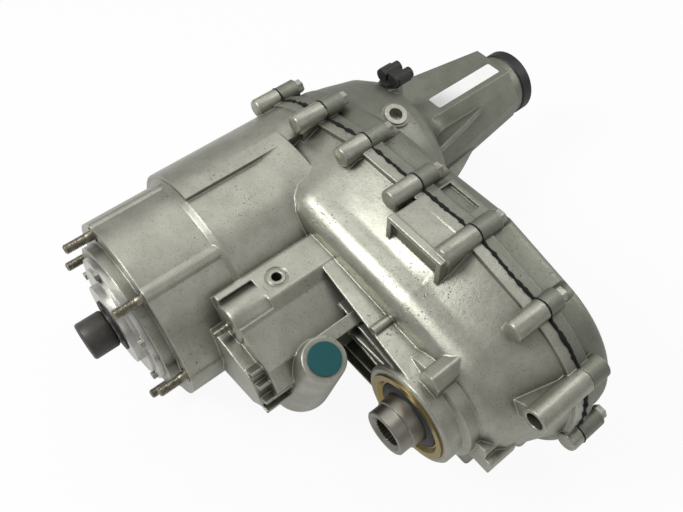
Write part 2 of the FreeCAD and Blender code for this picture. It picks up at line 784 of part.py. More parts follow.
def front_drilling():
    """Bores, seats and threaded holes of the front casting."""
    cuts = [
        cylinder(OUTPUT_BEARING_OUTER, OUTPUT_BEARING_FRONT - 2,
                 OUTPUT_BEARING_FRONT + OUTPUT_BEARING_WIDTH, OUTPUT_X, OUTPUT_Z),
        cylinder(SEAL_RADIUS, OUTPUT_FACE - 1, OUTPUT_BEARING_FRONT - 2, OUTPUT_X, OUTPUT_Z),
        cylinder(OUTPUT_BEARING_OUTER - 5, OUTPUT_BEARING_FRONT, BODY_FRONT + 20, OUTPUT_X, OUTPUT_Z),
        cylinder(RAIL_RADIUS, RAIL_FRONT + 1, RAIL_FRONT + 30, RAIL_X, RAIL_Z),
        tower_cylinder(SECTOR_SHAFT + RUNNING, 9, TOWER_DEPTH - 8),
        tower_cylinder(PLUG_SPIGOT, -1, 9),
        Part.makeCylinder(PAD_HOLE, PAD_HOLE_DEPTH + 1,
                          V(PAD_HOLE_X, PAD_HOLE_Y, HOUSING_TOP - PAD_HOLE_DEPTH)),
        cylinder(SMALL_STUD - STUD_TAP, LOWER_FRONT - 4, STUD_BLOCK_FRONT + STUD_SUNK,
                 STUD_BLOCK_X, STUD_BLOCK_Z),
    ]
    for angle in stud_angles():
        x, z = polar(STUD_CIRCLE, angle)
        cuts.append(cylinder(STUD_RADIUS - STUD_TAP, -1, STUD_SUNK, x, z))
    for x, z, ahead, _ in SEAM_BOSSES:
        cuts.append(cylinder(BOLT_RADIUS, SEAM - ahead + 8, SEAM + 1, x, z))
    x, z, ahead, _, _, hole = TUBE_BOSS
    cuts.append(cylinder(hole, SEAM - ahead - 1, SEAM + 1, x, z))
    for angle in retainer_angles():
        x, z = polar(RETAINER_BOLT_CIRCLE, angle)
        cuts.append(cylinder(RETAINER_BOLT, -REGISTER_DEPTH - 1, 4, x, z))
    for x in (-FOOT_HOLE_X, FOOT_HOLE_X):
        cuts.append(Part.makeCylinder(FOOT_HOLE, 16, V(x, FEET[0][1], FLOOR - 1)))
    groove_floor = V(PAD_HOLE_X, PAD_HOLE_Y, HOUSING_TOP - PAD_GROOVE)
    groove = Part.makeCylinder(PAD_HOLE + 6, 2 * PAD_GROOVE, groove_floor)
    cuts.append(groove.cut(Part.makeCylinder(PAD_HOLE + 3.5, 2 * PAD_GROOVE, groove_floor)))
    return cuts


def retainer_angles():
    """Angles of the screws that hold the input bearing retainer."""
    return [30.0 + 72.0 * index for index in range(5)]


def front_case():
    """Front casting with its hollow and bores."""
    solid = front_outside().cut(front_inside())
    return solid.cut(front_drilling())


def radial(angle, radius, y):
    """Point at a radius and angle round the main shaft."""
    x, z = polar(radius, angle)
    return V(x, y, z)


def radial_cylinder(size, inner, outer, angle, y):
    """Cylinder that points straight out from the main shaft."""
    heading = radial(angle, 1.0, 0.0)
    return Part.makeCylinder(size, outer - inner, radial(angle, inner, y), heading)


def rear_outside():
    """Outer form of the rear casting and its tail."""
    horn = turned([(0, HORN[0][1])] + list(HORN) + [(0, TAIL_END)])
    parts = [
        belt_solid(0, REAR_JOINT, SEAM + RIM_WIDTH),
        domed_solid(RIM_STEP, REAR_JOINT, SEAM + REAR_DEPTH, REAR_FILLET),
        horn,
        label_ledge(),
        radial_cylinder(PORT_RADIUS + 6, 70, PORT_FACE, PORT_ANGLE, PORT_Y),
        radial_cylinder(SENSOR_STEM + 8, 60, SENSOR_FACE, SENSOR_ANGLE, SENSOR_Y),
        cylinder(REAR_SEAT_RADIUS + 9, SEAM + REAR_DEPTH - 10, SEAM + REAR_DEPTH + 6,
                 OUTPUT_X, OUTPUT_Z),
        foot(*FOOT_BEHIND),
    ]
    for x, z, _, behind in SEAM_BOSSES:
        parts.append(cylinder(BOSS_RADIUS, REAR_JOINT, SEAM + behind, x, z))
    x, z, _, behind, outer, _ = TUBE_BOSS
    parts.append(cylinder(outer, REAR_JOINT, SEAM + behind, x, z))
    frame = prism([(BRACKET_LEFT, 80), (BRACKET_LEFT, BRACKET_TOP - 3),
                   (BRACKET_RIGHT - 6, BRACKET_TOP - 3), (BRACKET_RIGHT - 6, 80)],
                  REAR_JOINT, SEAM + 30, 4)
    pocket = prism([(BRACKET_LEFT + LIP, 124), (BRACKET_LEFT + LIP, BRACKET_TOP),
                    (BRACKET_RIGHT - 26, BRACKET_TOP), (BRACKET_RIGHT - 26, 124)],
                   SEAM + LIP, SEAM + 30 - LIP)
    parts.append(frame.cut(pocket))
    parts.extend(tail_ribs())
    return fused(parts)


def ledge_height(x):
    """Height of the ledge's flat top, which falls a little to the left."""
    return LABEL_FACE + LEDGE_SLOPE * (x - 24)


def label_ledge():
    """Flat-topped ledge on the tail, wide at its root and narrow at its end."""
    root = [(-62, 12), (-60, ledge_height(-60)), (16, ledge_height(16)), (54, -4), (46, -40), (0, -44)]
    end = [(-38, 10), (-36, ledge_height(-36)), (16, ledge_height(16)), (40.5, 12), (38, -16), (0, -34)]
    wires = []
    for points, y in ((root, LABEL_LEDGE_FRONT), (end, LABEL_LEDGE_BACK)):
        corners = [V(x, y, z) for x, z in points]
        wires.append(Part.makePolygon(corners + corners[:1]))
    return Part.makeLoft(wires, True, True)


def tail_ribs():
    """Ribs between the main dome and the tail."""
    ribs = []
    for angle, width in ((38, 6.0), (-28, 6.0), (214, 7.0), (270, 7.0)):
        profile = [
            radial(angle, 34, SEAM + 55), radial(angle, 92, SEAM + 73), radial(angle, 84, SEAM + 109),
            radial(angle, 60, SEAM + 169), radial(angle, 39, SEAM + 215),
            radial(angle, 34, SEAM + 215),
        ]
        face = Part.Face(Part.makePolygon(profile + profile[:1]))
        side = radial(angle + 90, width, 0)
        slab = face.extrude(side)
        slab.translate(side * -0.5)
        ribs.append(slab)
    return ribs


def rear_inside():
    """Hollow of the rear casting."""
    skin = RIM_STEP + WALL + 3
    wall_front = SEAM + REAR_DEPTH - WALL
    room = domed_solid(skin, SEAM - 1, wall_front, REAR_FILLET - 6)
    seat = cylinder(REAR_SEAT_RADIUS + 6, REAR_SEAT_FRONT, wall_front + 1, OUTPUT_X, OUTPUT_Z)
    rail_boss = cylinder(RAIL_RADIUS + 5, RAIL_BACK - 14, wall_front + 1, RAIL_X, RAIL_Z)
    room_back = REAR_BEARING_FRONT - 4
    pump_room = turned([
        (0, wall_front - 2), (PUMP_FLANGE, wall_front - 2), (PUMP_FLANGE, room_back - 12),
        (PUMP_FLANGE - 8, room_back), (0, room_back),
    ])
    return fused([room.cut(seat).cut(rail_boss), pump_room])


def rear_drilling():
    """Bores and seats of the rear casting."""
    cuts = [
        cylinder(REAR_SEAT_RADIUS, REAR_SEAT_FRONT - 1, REAR_SEAT_FRONT + REAR_SEAT_WIDTH,
                 OUTPUT_X, OUTPUT_Z),
        cylinder(OUTPUT_REAR_JOURNAL + 3, REAR_SEAT_FRONT, REAR_SEAT_FRONT + REAR_SEAT_WIDTH + 8,
                 OUTPUT_X, OUTPUT_Z),
        cylinder(RAIL_RADIUS, RAIL_BACK - 30, RAIL_BACK, RAIL_X, RAIL_Z),
        cylinder(BEARING_OUTER, REAR_BEARING_FRONT - 5, REAR_BEARING_FRONT + REAR_BEARING_WIDTH),
        cylinder(TAIL_BORE, REAR_BEARING_FRONT, TAIL_END + 1),
        cylinder(TAIL_BORE + 3, TAIL_END - SEAL_DEPTH, TAIL_END + 1),
        radial_cylinder(PORT_RADIUS, 60, PORT_FACE + 1, PORT_ANGLE, PORT_Y),
        radial_cylinder(SENSOR_STEM, TAIL_BORE - 4, SENSOR_FACE + 1, SENSOR_ANGLE, SENSOR_Y),
        cylinder(DRAIN_RADIUS, SEAM + REAR_DEPTH - 30, SEAM + REAR_DEPTH + 1, DRAIN_X, DRAIN_Z),
    ]
    for x, z, _, behind in SEAM_BOSSES:
        cuts.append(cylinder(BOLT_RADIUS, SEAM - 1, SEAM + behind + 1, x, z))
        cuts.append(cylinder(HEAD_ROOM, SEAM + behind, SEAM + REAR_DEPTH + 20, x, z))
    x, z, _, behind, _, hole = TUBE_BOSS
    cuts.append(cylinder(hole, SEAM - 1, SEAM + behind + 1, x, z))
    return cuts


def rear_case():
    """Rear casting with its hollow and bores."""
    solid = rear_outside().cut(rear_inside())
    return solid.cut(rear_drilling())


def case_sealant():
    """Bead of sealant that fills the seam and stands a little proud of it."""
    outer = belt_solid(-SEALANT_PROUD, FRONT_JOINT, REAR_JOINT)
    holes = [cylinder(BOLT_RADIUS, SEAM - 1, SEAM + 1, x, z) for x, z, _, _ in SEAM_BOSSES]
    holes.append(cylinder(TUBE_BOSS[5], SEAM - 1, SEAM + 1, TUBE_BOSS[0], TUBE_BOSS[1]))
    return outer.cut([belt_solid(RIM_STEP + WALL, SEAM - 1, SEAM + 1)] + holes)


def seam_bolts():
    """Hexagon bolts that come in from the rear half."""
    bolts = []
    for x, z, ahead, behind in SEAM_BOSSES:
        seat = SEAM + behind
        shank = cylinder(BOLT_RADIUS, SEAM - ahead + 14, seat, x, z)
        head = hexagon(2 * BOLT_HEAD - 2, seat, seat + BOLT_HEAD_HEIGHT, x, z)
        bolts.append(shank.fuse(head))
    return group(bolts)


def adapter_studs():
    """Studs that fasten the case to the transmission."""
    studs = []
    for angle in stud_angles():
        x, z = polar(STUD_CIRCLE, angle)
        studs.append(turned([
            (0, -STUD_REACH),
            (STUD_RADIUS - 1.5, -STUD_REACH),
            (STUD_RADIUS, -STUD_REACH + 1.5),
            (STUD_RADIUS, 0),
            (STUD_RADIUS - STUD_TAP, 0),
            (STUD_RADIUS - STUD_TAP, STUD_SUNK),
            (0, STUD_SUNK),
        ], x, z))
    return group(studs)


def bracket_stud():
    """Stud with a plain dog point in the block on the shift housing."""
    front = STUD_BLOCK_FRONT
    return turned([
        (0, front - 16),
        (3.2, front - 16),
        (3.2, front - 10),
        (SMALL_STUD, front - 8),
        (SMALL_STUD, front),
        (SMALL_STUD - STUD_TAP, front),
        (SMALL_STUD - STUD_TAP, front + STUD_SUNK),
        (0, front + STUD_SUNK),
    ], STUD_BLOCK_X, STUD_BLOCK_Z)


def input_retainer():
    """Machined cover that holds the input bearing and its seal."""
    body = turned([
        (SEAL_BORE, NOSE_FRONT),
        (RETAINER_NOSE, NOSE_FRONT),
        (RETAINER_NOSE, RETAINER_FRONT + 2),
        (RETAINER_RADIUS - 10, RETAINER_FRONT),
        (RETAINER_RADIUS - 10, RETAINER_FRONT + 3),
        (RETAINER_RADIUS, RETAINER_FRONT + 3),
        (RETAINER_RADIUS, -REGISTER_DEPTH),
        (BEARING_INNER + 8, -REGISTER_DEPTH),
        (BEARING_INNER + 8, -REGISTER_DEPTH - 3),
        (SEAL_BORE, -REGISTER_DEPTH - 3),
    ])
    holes = []
    for angle in retainer_angles():
        x, z = polar(RETAINER_BOLT_CIRCLE, angle)
        holes.append(cylinder(RETAINER_BOLT, NOSE_FRONT, 0, x, z))
    return body.cut(holes)


def retainer_screws():
    """Screws of the input bearing retainer."""
    screws = []
    for angle in retainer_angles():
        x, z = polar(RETAINER_BOLT_CIRCLE, angle)
        seat = RETAINER_FRONT + 3
        shank = cylinder(RETAINER_BOLT, seat, 3, x, z)
        head = hexagon(RETAINER_HEAD, seat - 4.5, seat, x, z)
        screws.append(shank.fuse(head))
    return group(screws)


def input_seal():
    """Lip seal pressed into the retainer."""
    return turned([
        (INPUT_NOSE + SLIDING, NOSE_FRONT + 1),
        (SEAL_BORE, NOSE_FRONT - 2),
        (SEAL_BORE, -REGISTER_DEPTH - 3),
        (SEAL_BORE - 3, -REGISTER_DEPTH - 3),
        (SEAL_BORE - 3, NOSE_FRONT + 4),
        (INPUT_NOSE + SLIDING, NOSE_FRONT + 4),
    ])


def roller_bearing(name, outer, inner, front, width, rollers, x=0.0, z=0.0):
    """Outer race, rollers and inner race of one bearing as three nodes."""
    middle = (outer + inner) / 2
    roller = (outer - inner) * ROLLER_SHARE
    back = front + width
    outer_race = tube(outer, middle + roller + RUNNING, front, back, x, z)
    inner_race = tube(middle - roller - RUNNING, inner, front, back, x, z)
    set_of_rollers = []
    for index in range(rollers):
        roller_x, roller_z = polar(middle, 360.0 * index / rollers, x, z)
        set_of_rollers.append(cylinder(roller, front + 2, back - 2, roller_x, roller_z))
    return {
        name + "_outer": outer_race,
        name + "_rollers": group(set_of_rollers),
        name + "_inner": inner_race,
    }


def input_shaft():
    """Input gear: nose with inner splines, sun gear and rear clutch cup."""
    cup_back = CUP_FRONT + CUP_DEPTH
    body = turned([
        (0, INPUT_END),
        (INPUT_NOSE, INPUT_END),
        (INPUT_NOSE, INPUT_BEARING_FRONT - 2),
        (BEARING_INNER, INPUT_BEARING_FRONT),
        (BEARING_INNER, INPUT_BEARING_FRONT + INPUT_BEARING_WIDTH),
        (BEARING_INNER + 5, INPUT_BEARING_FRONT + INPUT_BEARING_WIDTH + 1),
        (BEARING_INNER + 5, 20.0),
        (SUN_PITCH - 5, 22.0),
        (SUN_PITCH - 5, CUP_FRONT),
        (CLUTCH_TIP + 5, CUP_FRONT),
        (CLUTCH_TIP + 5, cup_back),
        (0, cup_back),
    ])
    sun = gear_solid(SUN_TEETH, False, 0.0, PLANET_FRONT - 1, PLANET_WIDTH + 2)
    front_bore = splined(INPUT_BORE, 1.5, 24, INPUT_END - 1, 24)
    pilot = cylinder(PILOT_BORE, 44, cup_back + 1)
    cup = splined(CLUTCH_TIP + SLIDING, CLUTCH_TOOTH, CLUTCH_TEETH, CUP_FRONT + 3, cup_back + 1,
                  ease=SPLINE_EASE)
    return body.fuse(sun).cut([front_bore, pilot, cup])


def pilot_bearing():
    """Needle bearing between the input gear and the main shaft."""
    return tube(PILOT_BORE, PILOT_SHAFT + RUNNING, 46, 62)


def input_cap():
    """Plastic plug that closes the input bore for transport."""
    return turned([
        (0, CAP_FRONT), (CAP_RADIUS - 1.5, CAP_FRONT), (CAP_RADIUS, CAP_FRONT + 1.5),
        (CAP_RADIUS, INPUT_END), (INPUT_BORE - 1.6, INPUT_END), (INPUT_BORE - 1.6, CAP_DEPTH),
        (INPUT_BORE - 4, CAP_DEPTH), (INPUT_BORE - 4, INPUT_END - 4), (0, INPUT_END - 4),
    ])


def annulus_gear():
    """Ring gear pressed into the neck."""
    blank = cylinder(RING_OUTER, RING_FRONT, RING_FRONT + RING_WIDTH)
    return blank.cut(gear_solid(RING_TEETH, True, 0.0, RING_FRONT - 1, RING_WIDTH + 2))


def planet_carrier():
    """Carrier with two plates, four pillars and the low-range ring."""
    front = PLANET_FRONT - PLATE - 2
    rear = PLANET_FRONT + PLANET_WIDTH + 1.5
    front_plate = tube(CARRIER_RADIUS, SUN_PITCH - 3, front, front + PLATE)
    rear_plate = turned([
        (CUP_CLEAR, rear), (CARRIER_RADIUS, rear), (CARRIER_RADIUS, rear + PLATE),
        (LOW_RING_OUTER, rear + PLATE), (LOW_RING_OUTER, LOW_RING_BACK),
        (CLUTCH_TIP + SLIDING, LOW_RING_BACK), (CLUTCH_TIP + SLIDING, LOW_RING_FRONT),
        (CUP_CLEAR, LOW_RING_FRONT),
    ])
    parts = [front_plate, rear_plate]
    for index in range(PLANET_COUNT):
        x, z = polar(PLANET_ORBIT, 360.0 * (index + 0.5) / PLANET_COUNT)
        parts.append(cylinder(9, front + 1, rear + 1, x, z))
    body = fused(parts)
    holes = []
    for index in range(PLANET_COUNT):
        x, z = polar(PLANET_ORBIT, 360.0 * index / PLANET_COUNT)
        holes.append(cylinder(PIN_RADIUS, front - 1, rear + PLATE + 1, x, z))
    return body.cut(holes)


def planet_pins():
    """Pins pressed through both carrier plates."""
    front = PLANET_FRONT - PLATE - 2
    rear = PLANET_FRONT + PLANET_WIDTH + 1.5 + PLATE
    pins = []
    for index in range(PLANET_COUNT):
        x, z = polar(PLANET_ORBIT, 360.0 * index / PLANET_COUNT)
        pins.append(cylinder(PIN_RADIUS, front, rear, x, z))
    return group(pins)


def planet_gear(index):
    """One planet gear at its place on the carrier."""
    phase = math.pi / PLANET_TEETH if index % 2 == 0 else 0.0
    gear = gear_solid(PLANET_TEETH, False, phase, PLANET_FRONT, PLANET_WIDTH)
    gear = gear.cut(cylinder(PIN_RADIUS + RUNNING, PLANET_FRONT - 1, PLANET_FRONT + PLANET_WIDTH + 1))
    x, z = polar(PLANET_ORBIT, 360.0 * index / PLANET_COUNT)
    gear.translate(V(x, 0, z))
    return gear


def main_shaft():
    """Main shaft from its pilot in the input gear to the slip splines."""
    body = turned([
        (0, 46), (PILOT_SHAFT, 46), (PILOT_SHAFT, CUP_FRONT + 4),
        (SHAFT_RADIUS - SHAFT_SPLINE, CUP_FRONT + 5), (SHAFT_RADIUS - SHAFT_SPLINE, CLUTCH_RING + 2),
        (SPROCKET_SEAT, CLUTCH_RING + 2), (SPROCKET_SEAT, SHOULDER_FRONT),
        (SPROCKET_SEAT + 6, SHOULDER_FRONT), (SPROCKET_SEAT + 6, SHOULDER_FRONT + 7),
        (SPROCKET_SEAT, SHOULDER_FRONT + 7), (SPROCKET_SEAT, PUMP_FRONT - 4),
        (REAR_SEAT, PUMP_FRONT - 2), (REAR_SEAT, SEAM + 107), (REAR_SHAFT - 1.5, SEAM + 111),
        (REAR_SHAFT - 1.5, SHAFT_END), (0, SHAFT_END),
    ])
    clutch_splines = splined(SHAFT_RADIUS, SHAFT_SPLINE, SHAFT_TEETH, CUP_FRONT + 6, CLUTCH_RING - 1)
    slip_splines = splined(REAR_SHAFT, 2.0, 18, SHAFT_END - 84, SHAFT_END - 1)
    return fused([body, clutch_splines, slip_splines])


def range_hub():
    """Sliding hub that picks high or low range."""
    body = turned([
        (10, HUB_FRONT), (30, HUB_FRONT), (30, RANGE_GROOVE - 4), (44, RANGE_GROOVE - 4),
        (44, RANGE_GROOVE), (36, RANGE_GROOVE), (36, RANGE_GROOVE + GROOVE_WIDTH),
        (44, RANGE_GROOVE + GROOVE_WIDTH), (44, RANGE_GROOVE + GROOVE_WIDTH + 4),
        (10, RANGE_GROOVE + GROOVE_WIDTH + 4),
    ])
    teeth = splined(CLUTCH_TIP, CLUTCH_TOOTH, CLUTCH_TEETH, HUB_FRONT, HUB_FRONT + CLUTCH_WIDTH)
    bore = splined(SHAFT_RADIUS + 0.1, SHAFT_SPLINE, SHAFT_TEETH, HUB_FRONT - 1,
                   RANGE_GROOVE + GROOVE_WIDTH + 5, ease=SPLINE_EASE)
    return body.fuse(teeth).cut(bore)


def mode_hub():
    """Hub fixed on the main shaft inside the mode sleeve."""
    back = MODE_HUB_FRONT + MODE_HUB_WIDTH
    teeth = splined(MODE_HUB_RADIUS, CLUTCH_TOOTH, CLUTCH_TEETH, MODE_HUB_FRONT, back)
    bore = splined(SHAFT_RADIUS + RUNNING, SHAFT_SPLINE, SHAFT_TEETH, MODE_HUB_FRONT - 1, back + 1,
                   ease=SPLINE_EASE)
    return teeth.cut(bore)


def mode_sleeve():
    """Sliding sleeve that locks the drive sprocket to the main shaft."""
    back = SLEEVE_FRONT + SLEEVE_WIDTH
    body = turned([
        (30, SLEEVE_FRONT), (SLEEVE_RADIUS, SLEEVE_FRONT), (SLEEVE_RADIUS, MODE_GROOVE),
        (SLEEVE_RADIUS - 6, MODE_GROOVE), (SLEEVE_RADIUS - 6, MODE_GROOVE + GROOVE_WIDTH),
        (SLEEVE_RADIUS, MODE_GROOVE + GROOVE_WIDTH), (SLEEVE_RADIUS, back), (30, back),
    ])
    bore = splined(MODE_HUB_RADIUS + SLIDING / 2, CLUTCH_TOOTH, CLUTCH_TEETH,
                   SLEEVE_FRONT - 1, back + 1, ease=SPLINE_EASE)
    return body.cut(bore)


def sprocket_teeth(x, z, front, back):
    """Toothed disc for a silent chain, with a tooth in the middle of each link."""
    points = []
    for tooth in range(SPROCKET_TEETH):
        middle = CHAIN_HEADING + 90 + TOOTH_STEP * (tooth + 0.5)
        for depth, half in ((6.5, -3.2), (1.6, -0.9), (1.6, 0.9), (6.5, 3.2)):
            radius = CHORD_RADIUS - depth
            points.append(polar(radius, middle + math.degrees(half / radius), x, z))
    return prism(points, front, back)


def drive_sprocket():
    """Sprocket that runs free on the main shaft, with its clutch ring."""
    rim = sprocket_teeth(0, 0, CHAIN_FRONT, CHAIN_FRONT + CHAIN_WIDTH)
    web = turned([
        (SPROCKET_SEAT - 4, CLUTCH_RING), (36, CLUTCH_RING), (36, CHAIN_FRONT + CHAIN_WIDTH + 2),
        (SPROCKET_SEAT - 4, CHAIN_FRONT + CHAIN_WIDTH + 2),
    ])
    clutch = splined(MODE_HUB_RADIUS, CLUTCH_TOOTH, CLUTCH_TEETH, CLUTCH_RING, CLUTCH_RING + 11)
    body = fused([rim, web, clutch])
    recesses = [
        tube(DISH_OUTER, DISH_INNER, CHAIN_FRONT - 1, CHAIN_FRONT + 7),
        tube(DISH_OUTER, DISH_INNER, CHAIN_FRONT + CHAIN_WIDTH - 7, CHAIN_FRONT + CHAIN_WIDTH + 1),
        cylinder(SPROCKET_SEAT + RUNNING, CLUTCH_RING - 1, SHOULDER_FRONT + 1),
    ]
    return body.cut(recesses)


def driven_sprocket():
    """Sprocket splined to the front output shaft."""
    rim = sprocket_teeth(OUTPUT_X, OUTPUT_Z, CHAIN_FRONT, CHAIN_FRONT + CHAIN_WIDTH)
    hollows = [
        tube(48, 34, CHAIN_FRONT - 1, CHAIN_FRONT + 7, OUTPUT_X, OUTPUT_Z),
        tube(48, 34, CHAIN_FRONT + CHAIN_WIDTH - 7, CHAIN_FRONT + CHAIN_WIDTH + 1,
             OUTPUT_X, OUTPUT_Z),
        cylinder(OUTPUT_SHAFT, CHAIN_FRONT - 1, CHAIN_FRONT + CHAIN_WIDTH + 1, OUTPUT_X, OUTPUT_Z),
    ]
    return rim.cut(hollows)


def chain_pins():
    """Joint places of the closed chain, in order round both sprockets."""
    pins = []
    wrap = SPROCKET_TEETH // 2
    for centre, start in (((0.0, 0.0), 90.0), ((OUTPUT_X, OUTPUT_Z), -90.0)):
        for step in range(wrap + 1):
            angle = CHAIN_HEADING + start + TOOTH_STEP * step
            pins.append(polar(SPROCKET_PITCH, angle, *centre))
        side = -1 if start > 0 else 1
        run_x, run_z = pins[-1]
        heading = math.radians(CHAIN_HEADING) + (0 if start > 0 else math.pi)
        for step in range(1, LINK_COUNT_STRAIGHT):
            pins.append((run_x + PITCH * step * math.cos(heading),
                         run_z + PITCH * step * math.sin(heading)))
    return pins


def link_plate(start, end, front, back):
    """One toothed plate between two joints; its teeth point inwards."""
    heading = V(end[0] - start[0], 0, end[1] - start[1]).normalize()
    outward = V(heading.z, 0, -heading.x)
    middle = V((start[0] + end[0]) / 2, front, (start[1] + end[1]) / 2)
    reach = PITCH / 2 + 1.7
    shape = ((-reach, LINK_TOP - 1.5), (-reach + 2, LINK_TOP), (reach - 2, LINK_TOP),
             (reach, LINK_TOP - 1.5), (reach, -1), (reach - 2.4, -LINK_TIP), (0, -0.6),
             (-reach + 2.4, -LINK_TIP), (-reach, -1))
    points = [middle + heading * along + outward * out for along, out in shape]
    return Part.Face(Part.makePolygon(points + points[:1])).extrude(V(0, back - front, 0))


def drive_chain():
    """Silent chain of laced plates that joins the two sprockets."""
    pins = chain_pins()
    plates = []
    for index, pin in enumerate(pins):
        following = pins[(index + 1) % len(pins)]
        if index % 2 == 0:
            bands = ((CHAIN_FRONT + 7.5, CHAIN_FRONT + CHAIN_WIDTH - 7.5),)
        else:
            bands = ((CHAIN_FRONT + 1, CHAIN_FRONT + 7), (CHAIN_FRONT + CHAIN_WIDTH - 7,
                     CHAIN_FRONT + CHAIN_WIDTH - 1))
        for front, back in bands:
            plates.append(link_plate(pin, following, front, back))
    return group(plates)


def front_output_shaft():
    """Front output shaft with its splined companion sleeve."""
    body = turned([
        (0, OUTPUT_MOUTH), (OUTPUT_SLEEVE - 1, OUTPUT_MOUTH), (OUTPUT_SLEEVE, OUTPUT_MOUTH + 1),
        (OUTPUT_SLEEVE, OUTPUT_FACE - 14), (OUTPUT_SLEEVE + 1.5, OUTPUT_FACE - 13),
        (OUTPUT_SLEEVE + 1.5, OUTPUT_BEARING_FRONT - 1), (OUTPUT_SHAFT, OUTPUT_BEARING_FRONT),
        (OUTPUT_SHAFT, CHAIN_FRONT - 8), (OUTPUT_SHAFT + 6, CHAIN_FRONT - 8),
        (OUTPUT_SHAFT + 6, CHAIN_FRONT), (OUTPUT_SHAFT, CHAIN_FRONT),
        (OUTPUT_SHAFT, CHAIN_FRONT + CHAIN_WIDTH + 1), (OUTPUT_REAR_JOURNAL, CHAIN_FRONT + CHAIN_WIDTH + 4),
        (OUTPUT_REAR_JOURNAL, REAR_SEAT_FRONT + REAR_SEAT_WIDTH + 2),
        (0, REAR_SEAT_FRONT + REAR_SEAT_WIDTH + 2),
    ], OUTPUT_X, OUTPUT_Z)
    bore = splined(OUTPUT_SPLINE, 1.5, 24, OUTPUT_MOUTH - 1, OUTPUT_MOUTH + 46, OUTPUT_X, OUTPUT_Z)
    mouth = Part.makeCone(OUTPUT_SPLINE + 3, OUTPUT_SPLINE, 3, V(OUTPUT_X, OUTPUT_MOUTH, OUTPUT_Z), ALONG)
    return body.cut([bore, mouth])


def front_output_seal():
    """Metal-cased lip seal round the front output sleeve."""
    return turned([
        (SEAL_RADIUS, OUTPUT_FACE - 2), (SEAL_RADIUS, OUTPUT_BEARING_FRONT - 2),
        (SEAL_RADIUS - 4, OUTPUT_BEARING_FRONT - 2), (SEAL_RADIUS - 4, OUTPUT_FACE + 5),
        (OUTPUT_SLEEVE + 1.5 + SLIDING, OUTPUT_FACE + 5),
        (OUTPUT_SLEEVE + 1.5 + SLIDING, OUTPUT_FACE + 2),
        (SEAL_RADIUS - 9, OUTPUT_FACE + 2), (SEAL_RADIUS - 6, OUTPUT_FACE - 2),
    ], OUTPUT_X, OUTPUT_Z)


def output_rear_bearing():
    """Roller bearing at the rear of the front output shaft."""
    return tube(REAR_SEAT_RADIUS, OUTPUT_REAR_JOURNAL + RUNNING, REAR_SEAT_FRONT,
                REAR_SEAT_FRONT + REAR_SEAT_WIDTH, OUTPUT_X, OUTPUT_Z)


def shift_rail():
    """Rail that guides both forks."""
    return cylinder(RAIL_RADIUS, RAIL_FRONT + 1, RAIL_BACK, RAIL_X, RAIL_Z)


def fork(groove_front, groove_radius, outer, hub_front, hub_back):
    """C-shaped fork with its hub on the rail."""
    front = groove_front + SLIDING
    back = groove_front + GROOVE_WIDTH - SLIDING
    angle = math.degrees(math.atan2(RAIL_Z, RAIL_X))
    ring = tube(outer, groove_radius + SLIDING, front, back)
    far_side = rib(polar(outer + 60, angle + 180), polar(12, angle + 180), 3 * outer, front - 1, back + 1)
    jaw = ring.cut(far_side)
    web = rib(polar(outer - 4, angle), polar(RAIL_DISTANCE - 4, angle), 26, front, back)
    hub = cylinder(RAIL_RADIUS + 5, hub_front, hub_back, RAIL_X, RAIL_Z)
    body = fused([jaw, web, hub])
    return body.cut(cylinder(RAIL_RADIUS + RUNNING, hub_front - 1, hub_back + 1, RAIL_X, RAIL_Z))


def fork_pin(along):
    """Cam pin square to the sector plate."""
    return tower_cylinder(FORK_PIN, SECTOR_DEPTH - SECTOR_PLATE + 1, SECTOR_DEPTH + 12, -PIN_REACH, along)


def arm(front, back):
    """Arm that reaches from the rail hub to below the cam pin."""
    foot_point = tower(SECTOR_DEPTH + 10, -PIN_REACH)
    return rib(polar(RAIL_RADIUS + 3, 0, RAIL_X, RAIL_Z), (foot_point.x + 5, foot_point.z), 9, front, back)


def range_fork():
    """Fork of the range hub with its cam pin."""
    middle = RANGE_GROOVE + GROOVE_WIDTH / 2
    body = fork(RANGE_GROOVE, 36.0, 56.0, middle - 11, middle + 11)
    return fused([body, arm(middle - ARM_HALF, middle + ARM_HALF), fork_pin(RANGE_PIN_ALONG)])


def mode_fork():
    """Fork of the mode sleeve with a long arm to its cam pin."""
    middle = MODE_GROOVE + GROOVE_WIDTH / 2
    body = fork(MODE_GROOVE, SLEEVE_RADIUS - 6, SLEEVE_RADIUS + 10, middle - 14, middle + 14)
    pin_y = PLUG_Y + MODE_PIN_ALONG
    base = tower(SECTOR_DEPTH + 10, -PIN_REACH)
    bar = Part.makeBox(11, middle - pin_y + 5, 9, V(base.x - 6, pin_y - 5, base.z - 5))
    return fused([body, arm(middle - ARM_HALF, middle + ARM_HALF), bar, fork_pin(MODE_PIN_ALONG)])


def sector():
    """Shift shaft with its sector plate and the spiral cam slot."""
    plate = tower_slab(sector_fan(SECTOR_RADIUS, 150, 202), SECTOR_DEPTH - SECTOR_PLATE, SECTOR_DEPTH)
    boss = tower_cylinder(16, SECTOR_DEPTH - SECTOR_PLATE - 2, SECTOR_DEPTH + 2)
    shaft = tower_cylinder(SECTOR_SHAFT, 10, TOWER_DEPTH - 9)
    slot = []
    for step in range(9):
        share = step / 8.0
        turn = math.radians(SECTOR_TURN * share)
        across = -PIN_REACH
        along = RANGE_PIN_ALONG + LOW_TRAVEL * share
        path_across = across * math.cos(turn) - along * math.sin(turn)
        path_along = across * math.sin(turn) + along * math.cos(turn)
        slot.append(tower_cylinder(FORK_PIN + SLIDING, SECTOR_DEPTH - SECTOR_PLATE - 1,
                                   SECTOR_DEPTH + 1, path_across, path_along))
    return fused([plate, boss, shaft]).cut(slot)


